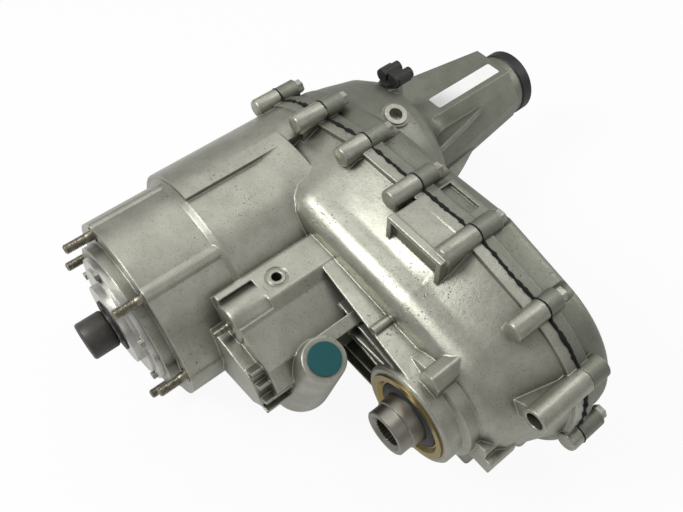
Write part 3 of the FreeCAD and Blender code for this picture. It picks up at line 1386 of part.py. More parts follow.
def shift_plug():
    """Plastic dust plug in the bore of the shift shaft."""
    disc = tower_cylinder(PLUG_RADIUS, -2.5, 0)
    spigot = tower_cylinder(PLUG_SPIGOT, -1, 8)
    return disc.fuse(spigot)


def pump_housing():
    """Oil pump body held in the rear casting."""
    flange = tube(PUMP_FLANGE, REAR_SEAT + 4, PUMP_FRONT, PUMP_FRONT + 4)
    body = cylinder(60, PUMP_FRONT + 3, PUMP_FRONT + PUMP_WIDTH)
    room = cylinder(40, PUMP_FRONT + 4, PUMP_FRONT + PUMP_WIDTH - 2)
    through = cylinder(REAR_SEAT + 2, PUMP_FRONT, PUMP_FRONT + PUMP_WIDTH + 1)
    return flange.fuse(body).cut([room, through])


def pump_rotor():
    """Pump rotor driven by the main shaft."""
    body = cylinder(34, PUMP_FRONT + 4 + SLIDING, PUMP_FRONT + PUMP_WIDTH - 2 - SLIDING)
    vanes = []
    for index in range(4):
        vanes.append(rib(polar(20, 90 * index), polar(39.5, 90 * index), 4,
                         PUMP_FRONT + 4 + SLIDING, PUMP_FRONT + PUMP_WIDTH - 2 - SLIDING))
    return fused([body] + vanes).cut(cylinder(REAR_SEAT, PUMP_FRONT, PUMP_FRONT + PUMP_WIDTH))


def pickup():
    """Suction tube and filter between the pump and the sump."""
    start = V(20, PUMP_FRONT + 1, -70)
    corner = V(34, SEAM + 17, -80)
    first = corner - start
    tube_run = Part.makeCylinder(6, first.Length, start, first)
    screen = Part.makeBox(44, 20, 10, V(20, SEAM + 5, -88))
    flange = cylinder(PUMP_FLANGE, PUMP_FRONT, PUMP_FRONT + PUMP_WIDTH)
    return fused([tube_run, screen]).cut(flange)


def tone_wheel():
    """Toothed speed ring on the main shaft."""
    front = REAR_BEARING_FRONT + REAR_BEARING_WIDTH + 3
    return splined(28, 2.5, 20, front, front + 7).cut(cylinder(REAR_SEAT, front - 1, front + 8))


def speed_sensor():
    """Speed sensor with its black connector head."""
    stem = radial_cylinder(SENSOR_STEM, TAIL_BORE + 1, SENSOR_FACE + 1, SENSOR_ANGLE, SENSOR_Y)
    collar = radial_cylinder(10, SENSOR_FACE, SENSOR_FACE + 4, SENSOR_ANGLE, SENSOR_Y)
    head = [Part.makeBox(34, 16, 7, V(-17, 0, 0))]
    for x in (-9, 9):
        head.append(Part.makeCylinder(6.5, 25, V(x, -4, 3.5), ALONG))
        head.append(Part.makeCylinder(7.3, 4, V(x, -4, 3.5), ALONG))
    head = fused(head)
    head.rotate(V(0, 0, 0), ALONG, 90 - SENSOR_ANGLE)
    head.translate(radial(SENSOR_ANGLE, SENSOR_FACE + 3.9, SENSOR_Y))
    return fused([stem, collar, head])


def fill_plug():
    """Threaded plug with a square recess in the fill port."""
    head = radial_cylinder(PORT_RADIUS + 3, PORT_FACE, PORT_FACE + 1.5, PORT_ANGLE, PORT_Y)
    shank = radial_cylinder(PORT_RADIUS, PORT_FACE - 16, PORT_FACE + 1, PORT_ANGLE, PORT_Y)
    recess = radial_cylinder(PORT_RADIUS - 2, PORT_FACE - 9, PORT_FACE + 4, PORT_ANGLE, PORT_Y)
    return head.fuse(shank).cut(recess)


def drain_plug():
    """Hexagon drain plug in the rear wall."""
    face = SEAM + REAR_DEPTH
    shank = cylinder(DRAIN_RADIUS, face - 12, face, DRAIN_X, DRAIN_Z)
    collar = cylinder(DRAIN_RADIUS + 4, face, face + 2, DRAIN_X, DRAIN_Z)
    head = hexagon(17, face + 2, face + 9, DRAIN_X, DRAIN_Z)
    return fused([shank, collar, head])


def magnet():
    """Round magnet on the inner face of the rear wall."""
    face = SEAM + REAR_DEPTH - WALL
    return cylinder(9, face - 4, face, 105, -62)


def tail_bushing():
    """Bush that guides the slip yoke in the tail."""
    back = TAIL_END - BUSHING_SUNK
    return tube(TAIL_BORE, TAIL_BORE - 3, back - BUSHING_WIDTH, back)


def rear_seal():
    """Black lip seal at the end of the tail."""
    wrap = TAIL_RADIUS - SEAL_STEP
    return turned([
        (TAIL_BORE - 3.5, TAIL_END - 6), (TAIL_BORE + 3, TAIL_END - SEAL_DEPTH),
        (TAIL_BORE + 3, TAIL_END), (wrap, TAIL_END), (wrap, TAIL_END - SEAL_WRAP),
        (TAIL_RADIUS, TAIL_END - SEAL_WRAP), (TAIL_RADIUS + 1.5, TAIL_END - SEAL_WRAP + 1.5),
        (TAIL_RADIUS + 1.5, TAIL_END + 1.5), (TAIL_RADIUS, TAIL_END + 3),
        (TAIL_BORE, TAIL_END + 3), (TAIL_BORE - 3.5, TAIL_END),
    ])


def tail_label():
    """Blank paper label on the ledge of the tail."""
    left, right, thick = -10.0, 9.0, 0.3
    return prism([(left, ledge_height(left)), (right, ledge_height(right)),
                  (right, ledge_height(right) + thick), (left, ledge_height(left) + thick)],
                 LABEL_LEDGE_FRONT + 34, LABEL_LEDGE_BACK - 8)


def build():
    """All nodes of the transfer case by name."""
    nodes = {
        "front_case": front_case(),
        "rear_case": rear_case(),
        "case_sealant": case_sealant(),
        "case_bolts": seam_bolts(),
        "adapter_studs": adapter_studs(),
        "bracket_stud": bracket_stud(),
        "input_retainer": input_retainer(),
        "retainer_screws": retainer_screws(),
        "input_seal": input_seal(),
        "input_shaft": input_shaft(),
        "pilot_bearing": pilot_bearing(),
        "input_cap": input_cap(),
        "annulus_gear": annulus_gear(),
        "planet_carrier": planet_carrier(),
        "planet_pins": planet_pins(),
        "main_shaft": main_shaft(),
        "range_hub": range_hub(),
        "mode_hub": mode_hub(),
        "mode_sleeve": mode_sleeve(),
        "drive_sprocket": drive_sprocket(),
        "driven_sprocket": driven_sprocket(),
        "drive_chain": drive_chain(),
        "front_output_shaft": front_output_shaft(),
        "front_output_seal": front_output_seal(),
        "output_rear_bearing": output_rear_bearing(),
        "shift_rail": shift_rail(),
        "range_fork": range_fork(),
        "mode_fork": mode_fork(),
        "sector": sector(),
        "shift_plug": shift_plug(),
        "pump_housing": pump_housing(),
        "pump_rotor": pump_rotor(),
        "pickup": pickup(),
        "tone_wheel": tone_wheel(),
        "speed_sensor": speed_sensor(),
        "fill_plug": fill_plug(),
        "drain_plug": drain_plug(),
        "magnet": magnet(),
        "tail_bushing": tail_bushing(),
        "rear_seal": rear_seal(),
        "tail_label": tail_label(),
    }
    for index in range(PLANET_COUNT):
        nodes["planet_gear_%d" % (index + 1)] = planet_gear(index)
    nodes.update(roller_bearing("input_bearing", BEARING_OUTER, BEARING_INNER,
                                INPUT_BEARING_FRONT, INPUT_BEARING_WIDTH, 8))
    nodes.update(roller_bearing("output_bearing", OUTPUT_BEARING_OUTER, OUTPUT_SHAFT,
                                OUTPUT_BEARING_FRONT, OUTPUT_BEARING_WIDTH, 8, OUTPUT_X, OUTPUT_Z))
    nodes.update(roller_bearing("rear_bearing", BEARING_OUTER, REAR_SEAT,
                                REAR_BEARING_FRONT, REAR_BEARING_WIDTH, 8))
    return nodes


def main():
    """Write one STEP file for each node."""
    os.makedirs("parts", exist_ok=True)
    for name, shape in build().items():
        shape.exportStep("parts/%s.step" % name)


if __name__ == "__main__":
    main()
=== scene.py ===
"""Looks of a chain-driven transfer case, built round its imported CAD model."""

import json
import logging
import math
from abc import ABC, abstractmethod
from dataclasses import dataclass, field
from enum import Enum
from typing import Any

import bmesh
import bpy
from mathutils import Matrix, Vector, noise

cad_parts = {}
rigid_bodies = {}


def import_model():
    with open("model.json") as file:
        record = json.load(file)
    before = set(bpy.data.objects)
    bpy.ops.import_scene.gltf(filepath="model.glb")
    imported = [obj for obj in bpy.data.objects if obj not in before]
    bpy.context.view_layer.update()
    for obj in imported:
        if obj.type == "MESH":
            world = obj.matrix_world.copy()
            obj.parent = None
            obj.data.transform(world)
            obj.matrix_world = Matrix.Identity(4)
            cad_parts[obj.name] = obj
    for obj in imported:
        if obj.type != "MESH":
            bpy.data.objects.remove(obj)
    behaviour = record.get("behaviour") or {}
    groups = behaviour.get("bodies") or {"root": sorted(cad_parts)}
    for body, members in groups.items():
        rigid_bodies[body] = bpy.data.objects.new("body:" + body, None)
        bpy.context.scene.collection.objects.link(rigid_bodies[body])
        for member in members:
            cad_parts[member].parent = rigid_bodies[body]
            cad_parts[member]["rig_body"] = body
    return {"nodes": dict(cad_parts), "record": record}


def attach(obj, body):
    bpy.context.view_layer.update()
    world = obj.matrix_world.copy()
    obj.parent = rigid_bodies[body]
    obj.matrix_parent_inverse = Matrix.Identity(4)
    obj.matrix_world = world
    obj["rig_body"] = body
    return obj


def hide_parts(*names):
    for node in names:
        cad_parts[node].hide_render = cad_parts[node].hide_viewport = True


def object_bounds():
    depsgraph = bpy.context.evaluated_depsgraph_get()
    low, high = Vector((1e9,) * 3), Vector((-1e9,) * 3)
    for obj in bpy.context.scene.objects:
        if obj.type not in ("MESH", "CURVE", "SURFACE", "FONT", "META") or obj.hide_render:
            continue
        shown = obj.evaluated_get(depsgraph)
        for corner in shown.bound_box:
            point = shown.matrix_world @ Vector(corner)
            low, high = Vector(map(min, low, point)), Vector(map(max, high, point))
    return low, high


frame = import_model()
CAD_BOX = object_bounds()

LOG = logging.getLogger("transfer_case")
MM = 0.001
WELD = 0.002 * MM

Links = dict[Any, tuple[bpy.types.Node, Any]]
Profile = list[tuple[float, float]]
Triple = tuple[float, float, float]


def linear(hex_colour: str) -> tuple[float, float, float, float]:
    """Turns an sRGB hex colour into linear light.

    Args:
        hex_colour: Six hex digits, such as "A2A399".

    Returns:
        Red, green, blue and an alpha of one.
    """
    channels = [int(hex_colour[i:i + 2], 16) / 255 for i in (0, 2, 4)]
    red, green, blue = (c / 12.92 if c <= 0.04045 else ((c + 0.055) / 1.055) ** 2.4
                        for c in channels)
    return red, green, blue, 1.0


def pattern_scale(size_mm: float) -> float:
    """Gives the noise scale that draws grains of a real size in millimetres."""
    return 1 / (size_mm * MM)


def add_node(tree: bpy.types.NodeTree, kind: str, settings: dict[Any, Any] | None = None,
             links: Links | None = None) -> bpy.types.Node:
    """Adds one node to a tree, with its settings and links.

    Args:
        tree: The material's or world's node tree.
        kind: Blender's name for the node type.
        settings: Values by property name, or by input name or number.
        links: Source node and output, by input name or number.

    Returns:
        The new node.
    """
    node = tree.nodes.new(kind)
    for name, value in (settings or {}).items():
        if isinstance(name, int) or name in node.inputs:
            node.inputs[name].default_value = value
        else:
            setattr(node, name, value)
    for name, (source, output) in (links or {}).items():
        tree.links.new(source.outputs[output], node.inputs[name])
    return node


def background_share(tree: bpy.types.NodeTree, mirrored: float) -> bpy.types.Node:
    """Tells rays that see the pale background from rays that light the case.

    Args:
        tree: The floor material's or the world's node tree.
        mirrored: The share of the background that glossy rays see.

    Returns:
        A node that gives 1 for camera and transmission rays, mirrored for glossy ones, else 0.
    """
    path = add_node(tree, "ShaderNodeLightPath")
    direct = add_node(tree, "ShaderNodeMath", {"operation": "MAXIMUM"},
                      {0: (path, "Is Camera Ray"), 1: (path, "Is Transmission Ray")})
    return add_node(tree, "ShaderNodeMath", {"operation": "MULTIPLY_ADD", 1: mirrored,
                    "use_clamp": True}, {0: (path, "Is Glossy Ray"), 2: (direct, 0)})


class Axis(Enum):
    """Lines along Y that turned pieces run round, by their x and z in metres."""

    MAIN = (0.0, 0.0)
    FRONT_OUTPUT = (260 * MM, 14 * MM)
    BRACKET_STUD = (106 * MM, 58 * MM)


class Slot(Enum):
    """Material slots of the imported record."""

    CAST_FRONT = "cast_aluminium_front"
    CAST_REAR = "cast_aluminium_rear"
    MACHINED = "machined_aluminium"
    GEAR_STEEL = "gear_steel"
    GROUND_STEEL = "ground_steel"
    ZINC_STEEL = "zinc_steel"
    BLACK_STEEL = "black_steel"
    BRASS_RING = "brass_ring"
    BRONZE = "bronze"
    MAGNET = "magnet_black"
    SEALANT = "sealant"
    RUBBER = "black_rubber"
    CAP_PLASTIC = "cap_plastic"
    TEAL_PLASTIC = "teal_plastic"
    BLACK_PLASTIC = "black_plastic"
    PAPER = "white_paper"


class Finish(ABC):
    """Shared start and end of every finish."""

    name: str

    @abstractmethod
    def build(self) -> bpy.types.Material:
        """Makes the material."""

    def start(self) -> tuple[bpy.types.Material, bpy.types.NodeTree]:
        """Makes the empty material.

        Returns:
            The material and its node tree.
        """
        material = bpy.data.materials.new(self.name)
        material.use_nodes = True
        material.node_tree.nodes.clear()
        return material, material.node_tree

    def on_object(self, tree: bpy.types.NodeTree) -> Links:
        """Links a pattern to the object's own coordinates.

        Args:
            tree: The material's tree.

        Returns:
            Links for the pattern's node.
        """
        return {"Vector": (add_node(tree, "ShaderNodeTexCoord"), "Object")}

    def close(self, tree: bpy.types.NodeTree, shader: bpy.types.Node) -> None:
        """Sends the shader to the material's output.

        Args:
            tree: The material's tree.
            shader: The last shader node.
        """
        add_node(tree, "ShaderNodeOutputMaterial", links={"Surface": (shader, 0)})


@dataclass(frozen=True)
class CastAluminium(Finish):
    """Die-cast aluminium as it leaves the die: satin, finely grained, soft at every edge.

    Edges carry a painted highlight, hollows carry painted shade, and dark pores stand in
    clusters. The grain is really about 0.3 mm and a pore about 1 mm. Both are drawn larger, so
    that the render shows them.
    """

    name: str
    tone: str
    shade: str
    # Colour of the grain specks and pores, and of the painted shade in hollows
    scuff_and_shade: str
    # Colour of the painted highlight along the edges
    edge: str
    roughness: float = 0.38
    metallic: float = 0.82
    grain_mm: float = 1.7
    ripple_mm: float = 4.5
    mottle_mm: float = 22.0
    edge_mm: float = 2.2
    pore_mm: float = 2.6
    cluster_mm: float = 55.0
    # Reach of the painted shade in hollows
    painted_shade_mm: float = 20.0

    def pores(self, tree: bpy.types.NodeTree, here: Links) -> bpy.types.Node:
        """Scatters pores in clusters.

        Args:
            tree: The material's tree.
            here: Links to the object's coordinates.

        Returns:
            A node that gives 0 on whole skin and more in a pore.
        """
        pore = add_node(tree, "ShaderNodeTexNoise", {"Scale": pattern_scale(self.pore_mm),
                        "Detail": 1.0}, here)
        cluster = add_node(tree, "ShaderNodeTexNoise", {"Scale": pattern_scale(self.cluster_mm),
                           "Detail": 2.0}, here)
        pits = add_node(tree, "ShaderNodeMapRange", {"From Min": 0.66, "From Max": 0.73},
                        {"Value": (pore, "Fac")})
        spread = add_node(tree, "ShaderNodeMapRange", {"From Min": 0.52, "From Max": 0.60,
                          "To Min": 0.02, "To Max": 0.6}, {"Value": (cluster, "Fac")})
        return add_node(tree, "ShaderNodeMath", {"operation": "MULTIPLY"},
                        {0: (pits, 0), 1: (spread, 0)})

    def skin(self, tree: bpy.types.NodeTree, here: Links, grain: bpy.types.Node) -> bpy.types.Node:
        """Mottles the bare casting and speckles it with its grain.

        Args:
            tree: The material's tree.
            here: Links to the object's coordinates.
            grain: The grain's noise node.

        Returns:
            A mix node with the colour at output 2.
        """
        mottle = add_node(tree, "ShaderNodeTexNoise", {"Scale": pattern_scale(self.mottle_mm),
                          "Detail": 4.0, "Roughness": 0.6}, here)
        clouds = add_node(tree, "ShaderNodeMapRange", {"From Min": 0.35, "From Max": 0.68},
                          {"Value": (mottle, "Fac")})
        tone = add_node(tree, "ShaderNodeMix", {"data_type": "RGBA", 6: linear(self.tone),
                        7: linear(self.shade)}, {0: (clouds, 0)})
        speckle = add_node(tree, "ShaderNodeMapRange", {"From Min": 0.57, "From Max": 0.74,
                           "To Max": 0.6}, {"Value": (grain, "Fac")})
        return add_node(tree, "ShaderNodeMix", {"data_type": "RGBA", 7: linear(self.scuff_and_shade)},
                        {0: (speckle, 0), 6: (tone, 2)})

    def painted_light_and_pores(self, tree: bpy.types.NodeTree, skin: bpy.types.Node, soft: bpy.types.Node,
             pitted: bpy.types.Node) -> bpy.types.Node:
        """Paints shade into hollows, darkens the pores, and paints a highlight along the edges.

        Args:
            tree: The material's tree.
            skin: The mix node of the bare casting.
            soft: The bevel node that rounds the edges.
            pitted: The node of the pores.

        Returns:
            A mix node with the colour at output 2.
        """
        # Painted shade: ambient occlusion darkens hollows and corners towards the dark colour
        hollow = add_node(tree, "ShaderNodeAmbientOcclusion", {"samples": 6,
                          "Distance": self.painted_shade_mm * MM})
        corner = add_node(tree, "ShaderNodeMapRange", {"From Min": 0.25, "From Max": 0.9,
                          "To Min": 0.7, "To Max": 0.0}, {"Value": (hollow, "AO")})
        painted_shade = add_node(tree, "ShaderNodeMix", {"data_type": "RGBA", 7: linear(self.scuff_and_shade)},
                         {0: (corner, 0), 6: (skin, 2)})
        # Painted highlight: edges, where the bevel's normal turns from the face's, are lightened
        # towards the edge colour
        plane = add_node(tree, "ShaderNodeNewGeometry")
        turn = add_node(tree, "ShaderNodeVectorMath", {"operation": "DOT_PRODUCT"},
                        {0: (plane, "Normal"), 1: (soft, 0)})
        edge_highlight = add_node(tree, "ShaderNodeMapRange", {"From Min": 0.99, "From Max": 0.8,
                          "To Max": 0.55}, {"Value": (turn, "Value")})
        edge_highlighted = add_node(tree, "ShaderNodeMix", {"data_type": "RGBA", 7: linear(self.edge)},
                         {0: (edge_highlight, 0), 6: (painted_shade, 2)})
        return add_node(tree, "ShaderNodeMix", {"data_type": "RGBA", 7: linear(self.scuff_and_shade)},
                        {0: (pitted, 0), 6: (edge_highlighted, 2)})

    def build(self) -> bpy.types.Material:
        """Makes the material.

        Returns:
            The material, with ripples, pores and grain in its relief.
        """
        material, tree = self.start()
        here = self.on_object(tree)
        grain = add_node(tree, "ShaderNodeTexNoise", {"Scale": pattern_scale(self.grain_mm),
                         "Detail": 3.0, "Roughness": 0.65}, here)
        flow = add_node(tree, "ShaderNodeTexNoise", {"Scale": pattern_scale(self.ripple_mm),
                        "Detail": 2.0}, here)
        soft = add_node(tree, "ShaderNodeBevel", {"samples": 6, "Radius": self.edge_mm * MM})
        pitted = self.pores(tree, here)
        # Paints shade into hollows and a highlight along the edges, and darkens the pores
        tint = self.painted_light_and_pores(tree, self.skin(tree, here, grain), soft, pitted)
        rough = add_node(tree, "ShaderNodeMapRange", {"To Min": self.roughness - 0.07,
                         "To Max": self.roughness + 0.1}, {"Value": (flow, "Fac")})
        ripple = add_node(tree, "ShaderNodeBump", {"Strength": 0.10, "Distance": 1.0 * MM},
                          {"Height": (flow, "Fac"), "Normal": (soft, 0)})
        sunk = add_node(tree, "ShaderNodeBump", {"Strength": 0.5, "Distance": 0.6 * MM,
                        "invert": True}, {"Height": (pitted, 0), "Normal": (ripple, 0)})
        bump = add_node(tree, "ShaderNodeBump", {"Strength": 0.22, "Distance": 0.35 * MM},
                        {"Height": (grain, "Fac"), "Normal": (sunk, 0)})
        shader = add_node(tree, "ShaderNodeBsdfPrincipled", {"Metallic": self.metallic},
                          {"Base Color": (tint, 2), "Roughness": (rough, 0), "Normal": (bump, 0)})
        self.close(tree, shader)
        return material


@dataclass(frozen=True)
class TurnedMetal(Finish):
    """Metal faced on a lathe: bright, with fine rings round its axis.

    The tool marks are really about 0.2 mm apart and are drawn at ring_mm, so that they show.
    """

    name: str
    tone: str
    axis: Axis = Axis.MAIN
    roughness: float = 0.28
    ring_mm: float = 1.1
    cloud_mm: float = 9.0
    edge_mm: float = 0.5
    shade: float = 0.72

    def build(self) -> bpy.types.Material:
        """Makes the material.

        Returns:
            The material, with rings round its axis.
        """
        material, tree = self.start()
        here = self.on_object(tree)
        x, z = self.axis.value
        centred = add_node(tree, "ShaderNodeMapping", {"Location": (-x, 0, -z),
                           "Scale": (1, 0, 1)}, here)
        radius = add_node(tree, "ShaderNodeVectorMath", {"operation": "LENGTH"},
                          {0: (centred, 0)})
        rings = add_node(tree, "ShaderNodeTexNoise", {"noise_dimensions": "1D",
                         "Scale": pattern_scale(self.ring_mm), "Detail": 2.0},
                         {"W": (radius, "Value")})
        cloud = add_node(tree, "ShaderNodeTexNoise", {"Scale": pattern_scale(self.cloud_mm),
                         "Detail": 3.0}, here)
        shaded = [c * self.shade for c in linear(self.tone)[:3]] + [1.0]
        tone = add_node(tree, "ShaderNodeMix", {"data_type": "RGBA", 6: linear(self.tone),
                        7: shaded}, {0: (cloud, "Fac")})
        rough = add_node(tree, "ShaderNodeMapRange", {"To Min": self.roughness - 0.06,
                         "To Max": self.roughness + 0.12}, {"Value": (rings, "Fac")})
        soft = add_node(tree, "ShaderNodeBevel", {"samples": 4, "Radius": self.edge_mm * MM})
        bump = add_node(tree, "ShaderNodeBump", {"Strength": 0.12, "Distance": 0.2 * MM},
                        {"Height": (rings, "Fac"), "Normal": (soft, 0)})
        shader = add_node(tree, "ShaderNodeBsdfPrincipled", {"Metallic": 1.0},
                          {"Base Color": (tone, 2), "Roughness": (rough, 0), "Normal": (bump, 0)})
        self.close(tree, shader)
        return material


@dataclass(frozen=True)
class CoatedSteel(Finish):
    """Coated, hardened or sintered metal: dull sheen, slightly patchy, soft at its edges.

    The crystals of a coating are far below 0.1 mm and are drawn at grit_mm, so that they show.
    """

    name: str
    tone: str
    patch: str
    roughness: float = 0.38
    metallic: float = 1.0
    patch_mm: float = 5.0
    grit_mm: float = 0.8
    edge_mm: float = 0.5

    def build(self) -> bpy.types.Material:
        """Makes the material.

        Returns:
            The material, patchy in colour and gloss.
        """
        material, tree = self.start()
        here = self.on_object(tree)
        patches = add_node(tree, "ShaderNodeTexNoise", {"Scale": pattern_scale(self.patch_mm),
                           "Detail": 4.0}, here)
        grit = add_node(tree, "ShaderNodeTexNoise", {"Scale": pattern_scale(self.grit_mm),
                        "Detail": 2.0}, here)
        share = add_node(tree, "ShaderNodeMapRange", {"From Min": 0.4, "From Max": 0.65},
                         {"Value": (patches, "Fac")})
        tone = add_node(tree, "ShaderNodeMix", {"data_type": "RGBA", 6: linear(self.tone),
                        7: linear(self.patch)}, {0: (share, 0)})
        rough = add_node(tree, "ShaderNodeMapRange", {"To Min": self.roughness - 0.08,
                         "To Max": self.roughness + 0.12}, {"Value": (patches, "Fac")})
        soft = add_node(tree, "ShaderNodeBevel", {"samples": 4, "Radius": self.edge_mm * MM})
        bump = add_node(tree, "ShaderNodeBump", {"Strength": 0.10, "Distance": 0.2 * MM},
                        {"Height": (grit, "Fac"), "Normal": (soft, 0)})
        shader = add_node(tree, "ShaderNodeBsdfPrincipled", {"Metallic": self.metallic},
                          {"Base Color": (tone, 2), "Roughness": (rough, 0), "Normal": (bump, 0)})
        self.close(tree, shader)
        return material


@dataclass(frozen=True)
class MouldedPolymer(Finish):
    """Moulded plastic, rubber or paper: one colour with a faint cloud and a fine grain.

    A mould's grain is really 0.1 to 0.3 mm and is drawn at grain_mm, so that it shows.
    """

    name: str
    tone: str
    worn: str
    roughness: float = 0.5
    grain_mm: float = 0.9
    edge_mm: float = 0.8
    cloud_mm: float = 7.0
    ior: float = 1.5

    def build(self) -> bpy.types.Material:
        """Makes the material.

        Returns:
            The material, clouded in colour and gloss.
        """
        material, tree = self.start()
        here = self.on_object(tree)
        cloud = add_node(tree, "ShaderNodeTexNoise", {"Scale": pattern_scale(self.cloud_mm),
                         "Detail": 4.0}, here)
        grain = add_node(tree, "ShaderNodeTexNoise", {"Scale": pattern_scale(self.grain_mm),
                         "Detail": 2.0}, here)
        share = add_node(tree, "ShaderNodeMapRange", {"From Min": 0.42, "From Max": 0.75,
                         "To Max": 0.6}, {"Value": (cloud, "Fac")})
        tone = add_node(tree, "ShaderNodeMix", {"data_type": "RGBA", 6: linear(self.tone),
                        7: linear(self.worn)}, {0: (share, 0)})
        rough = add_node(tree, "ShaderNodeMapRange", {"To Min": self.roughness - 0.08,
                         "To Max": self.roughness + 0.12}, {"Value": (cloud, "Fac")})
        soft = add_node(tree, "ShaderNodeBevel", {"samples": 4, "Radius": self.edge_mm * MM})
        bump = add_node(tree, "ShaderNodeBump", {"Strength": 0.15, "Distance": 0.15 * MM},
                        {"Height": (grain, "Fac"), "Normal": (soft, 0)})
        shader = add_node(tree, "ShaderNodeBsdfPrincipled", {"IOR": self.ior},
                          {"Base Color": (tone, 2), "Roughness": (rough, 0), "Normal": (bump, 0)})
        self.close(tree, shader)
        return material


@dataclass(frozen=True)
class PaperSweep(Finish):
    """Matt white paper under the case, which glows for the rays that see the background."""

    name: str = "white_paper_sweep"
    grey: float = 0.86
    glow: float = 0.93
    mirrored: float = 0.3

    def build(self) -> bpy.types.Material:
        """Makes the material.

        Returns:
            The material, which still takes the case's shadow.
        """
        material, tree = self.start()
        share = add_node(tree, "ShaderNodeMath", {"operation": "MULTIPLY", 1: self.glow},
                         {0: (background_share(tree, self.mirrored), 0)})
        paper = add_node(tree, "ShaderNodeBsdfDiffuse",
                         {"Color": (self.grey, self.grey, self.grey, 1)})
        glow = add_node(tree, "ShaderNodeEmission", {"Color": (1, 1, 1, 1), "Strength": 1.0})
        mixed = add_node(tree, "ShaderNodeMixShader",
                         links={0: (share, 0), 1: (paper, 0), 2: (glow, 0)})
        self.close(tree, mixed)
        return material


# Aluminium alloy from a steel die, washed clean: pale warm grey, satin; painted highlight along
# edges, painted shade in hollows
CAST_FRONT = CastAluminium("die_cast_aluminium_front", tone="AAAA9E", shade="9B9B8F",
                           scuff_and_shade="484841", edge="D2D1C6")
# The same alloy, less clean: a darker and flatter grey; painted shade in hollows, a dimmer painted
# highlight along edges
CAST_REAR = CastAluminium("die_cast_aluminium_rear", tone="88897E", shade="7D7E72",
                          scuff_and_shade="44443D", edge="A2A296", roughness=0.48)
# Aluminium faced on a lathe: nearly white, with fine rings that catch the lamps
TURNED_ALUMINIUM = TurnedMetal("turned_aluminium", "CFCEC8", roughness=0.36)
# Turned bare steel, lightly oiled: warm mid grey with rings round the front output
TURNED_OUTPUT = TurnedMetal("turned_steel_sleeve", "96938A", Axis.FRONT_OUTPUT, roughness=0.36)
# Seal case with yellow plating: dull gold
PLATED_RING = TurnedMetal("brass_plated_seal_ring", "A08F5E", Axis.FRONT_OUTPUT, roughness=0.3)
# Zinc on steel screws: light grey with a soft sheen
ZINC = CoatedSteel("zinc_plated_steel", tone="A9A89F", patch="8B8A80")
# Fresh zinc on the filler plug: as light as the castings round it, and duller than bare steel
BRIGHT_ZINC = CoatedSteel("bright_zinc_plug", tone="A6A59B", patch="96958B", roughness=0.42)
# Phosphated, oiled stud steel: brown-grey, with darker patches in the threads
STUD_STEEL = CoatedSteel("phosphated_stud_steel", tone="979284", patch="6E6A5E", roughness=0.4)
# Case-hardened gear steel: neutral grey with a smooth, slightly oily sheen
GEAR_STEEL = CoatedSteel("case_hardened_steel", tone="7C7C7A", patch="63635F", roughness=0.32)
# Ground bearing steel: the brightest and smoothest metal inside
GROUND_STEEL = CoatedSteel("ground_bearing_steel", tone="B5B5B3", patch="A2A2A0", roughness=0.22)
# Sintered bronze: dull golden brown
BRONZE = CoatedSteel("sintered_bronze", tone="A98456", patch="8D6B43", roughness=0.45)
# Pressed ferrite: a dark grey ceramic with hardly any sheen
FERRITE = CoatedSteel("ferrite_magnet", tone="3A3A3C", patch="2E2E30", roughness=0.55,
                      metallic=0.4)
# Silicone that cured where it was squeezed out: near black and dull
SEALANT = MouldedPolymer("cured_silicone", tone="040404", worn="090909", roughness=0.75,
                         edge_mm=0.2, ior=1.41)
# Nitrile rubber: black, half matt, a little grey where it is dusty
SEAL_RUBBER = MouldedPolymer("nitrile_rubber", tone="161616", worn="232221", roughness=0.5)
# Soft polyethylene of a transport cap: dark brown-grey with a waxy sheen
CAP_PLASTIC = MouldedPolymer("dark_polyethylene", tone="3B3834", worn="4B4843", roughness=0.45)
# Dyed polyethylene of a dust plug: even teal, nearly matt
TEAL_PLASTIC = MouldedPolymer("teal_polyethylene", tone="004E52", worn="005255", roughness=0.62,
                              edge_mm=0.5)
# Glass-filled nylon: black, with the faint haze that its fibres leave
CONNECTOR_NYLON = MouldedPolymer("glass_filled_nylon", tone="1B1B1A", worn="2A2927",
                                 roughness=0.46)
# Coated label paper: white, smooth and dull
LABEL_PAPER = MouldedPolymer("coated_label_paper", tone="FAFAF9", worn="F4F4F2", roughness=0.6,
                             grain_mm=0.6, edge_mm=0.1)


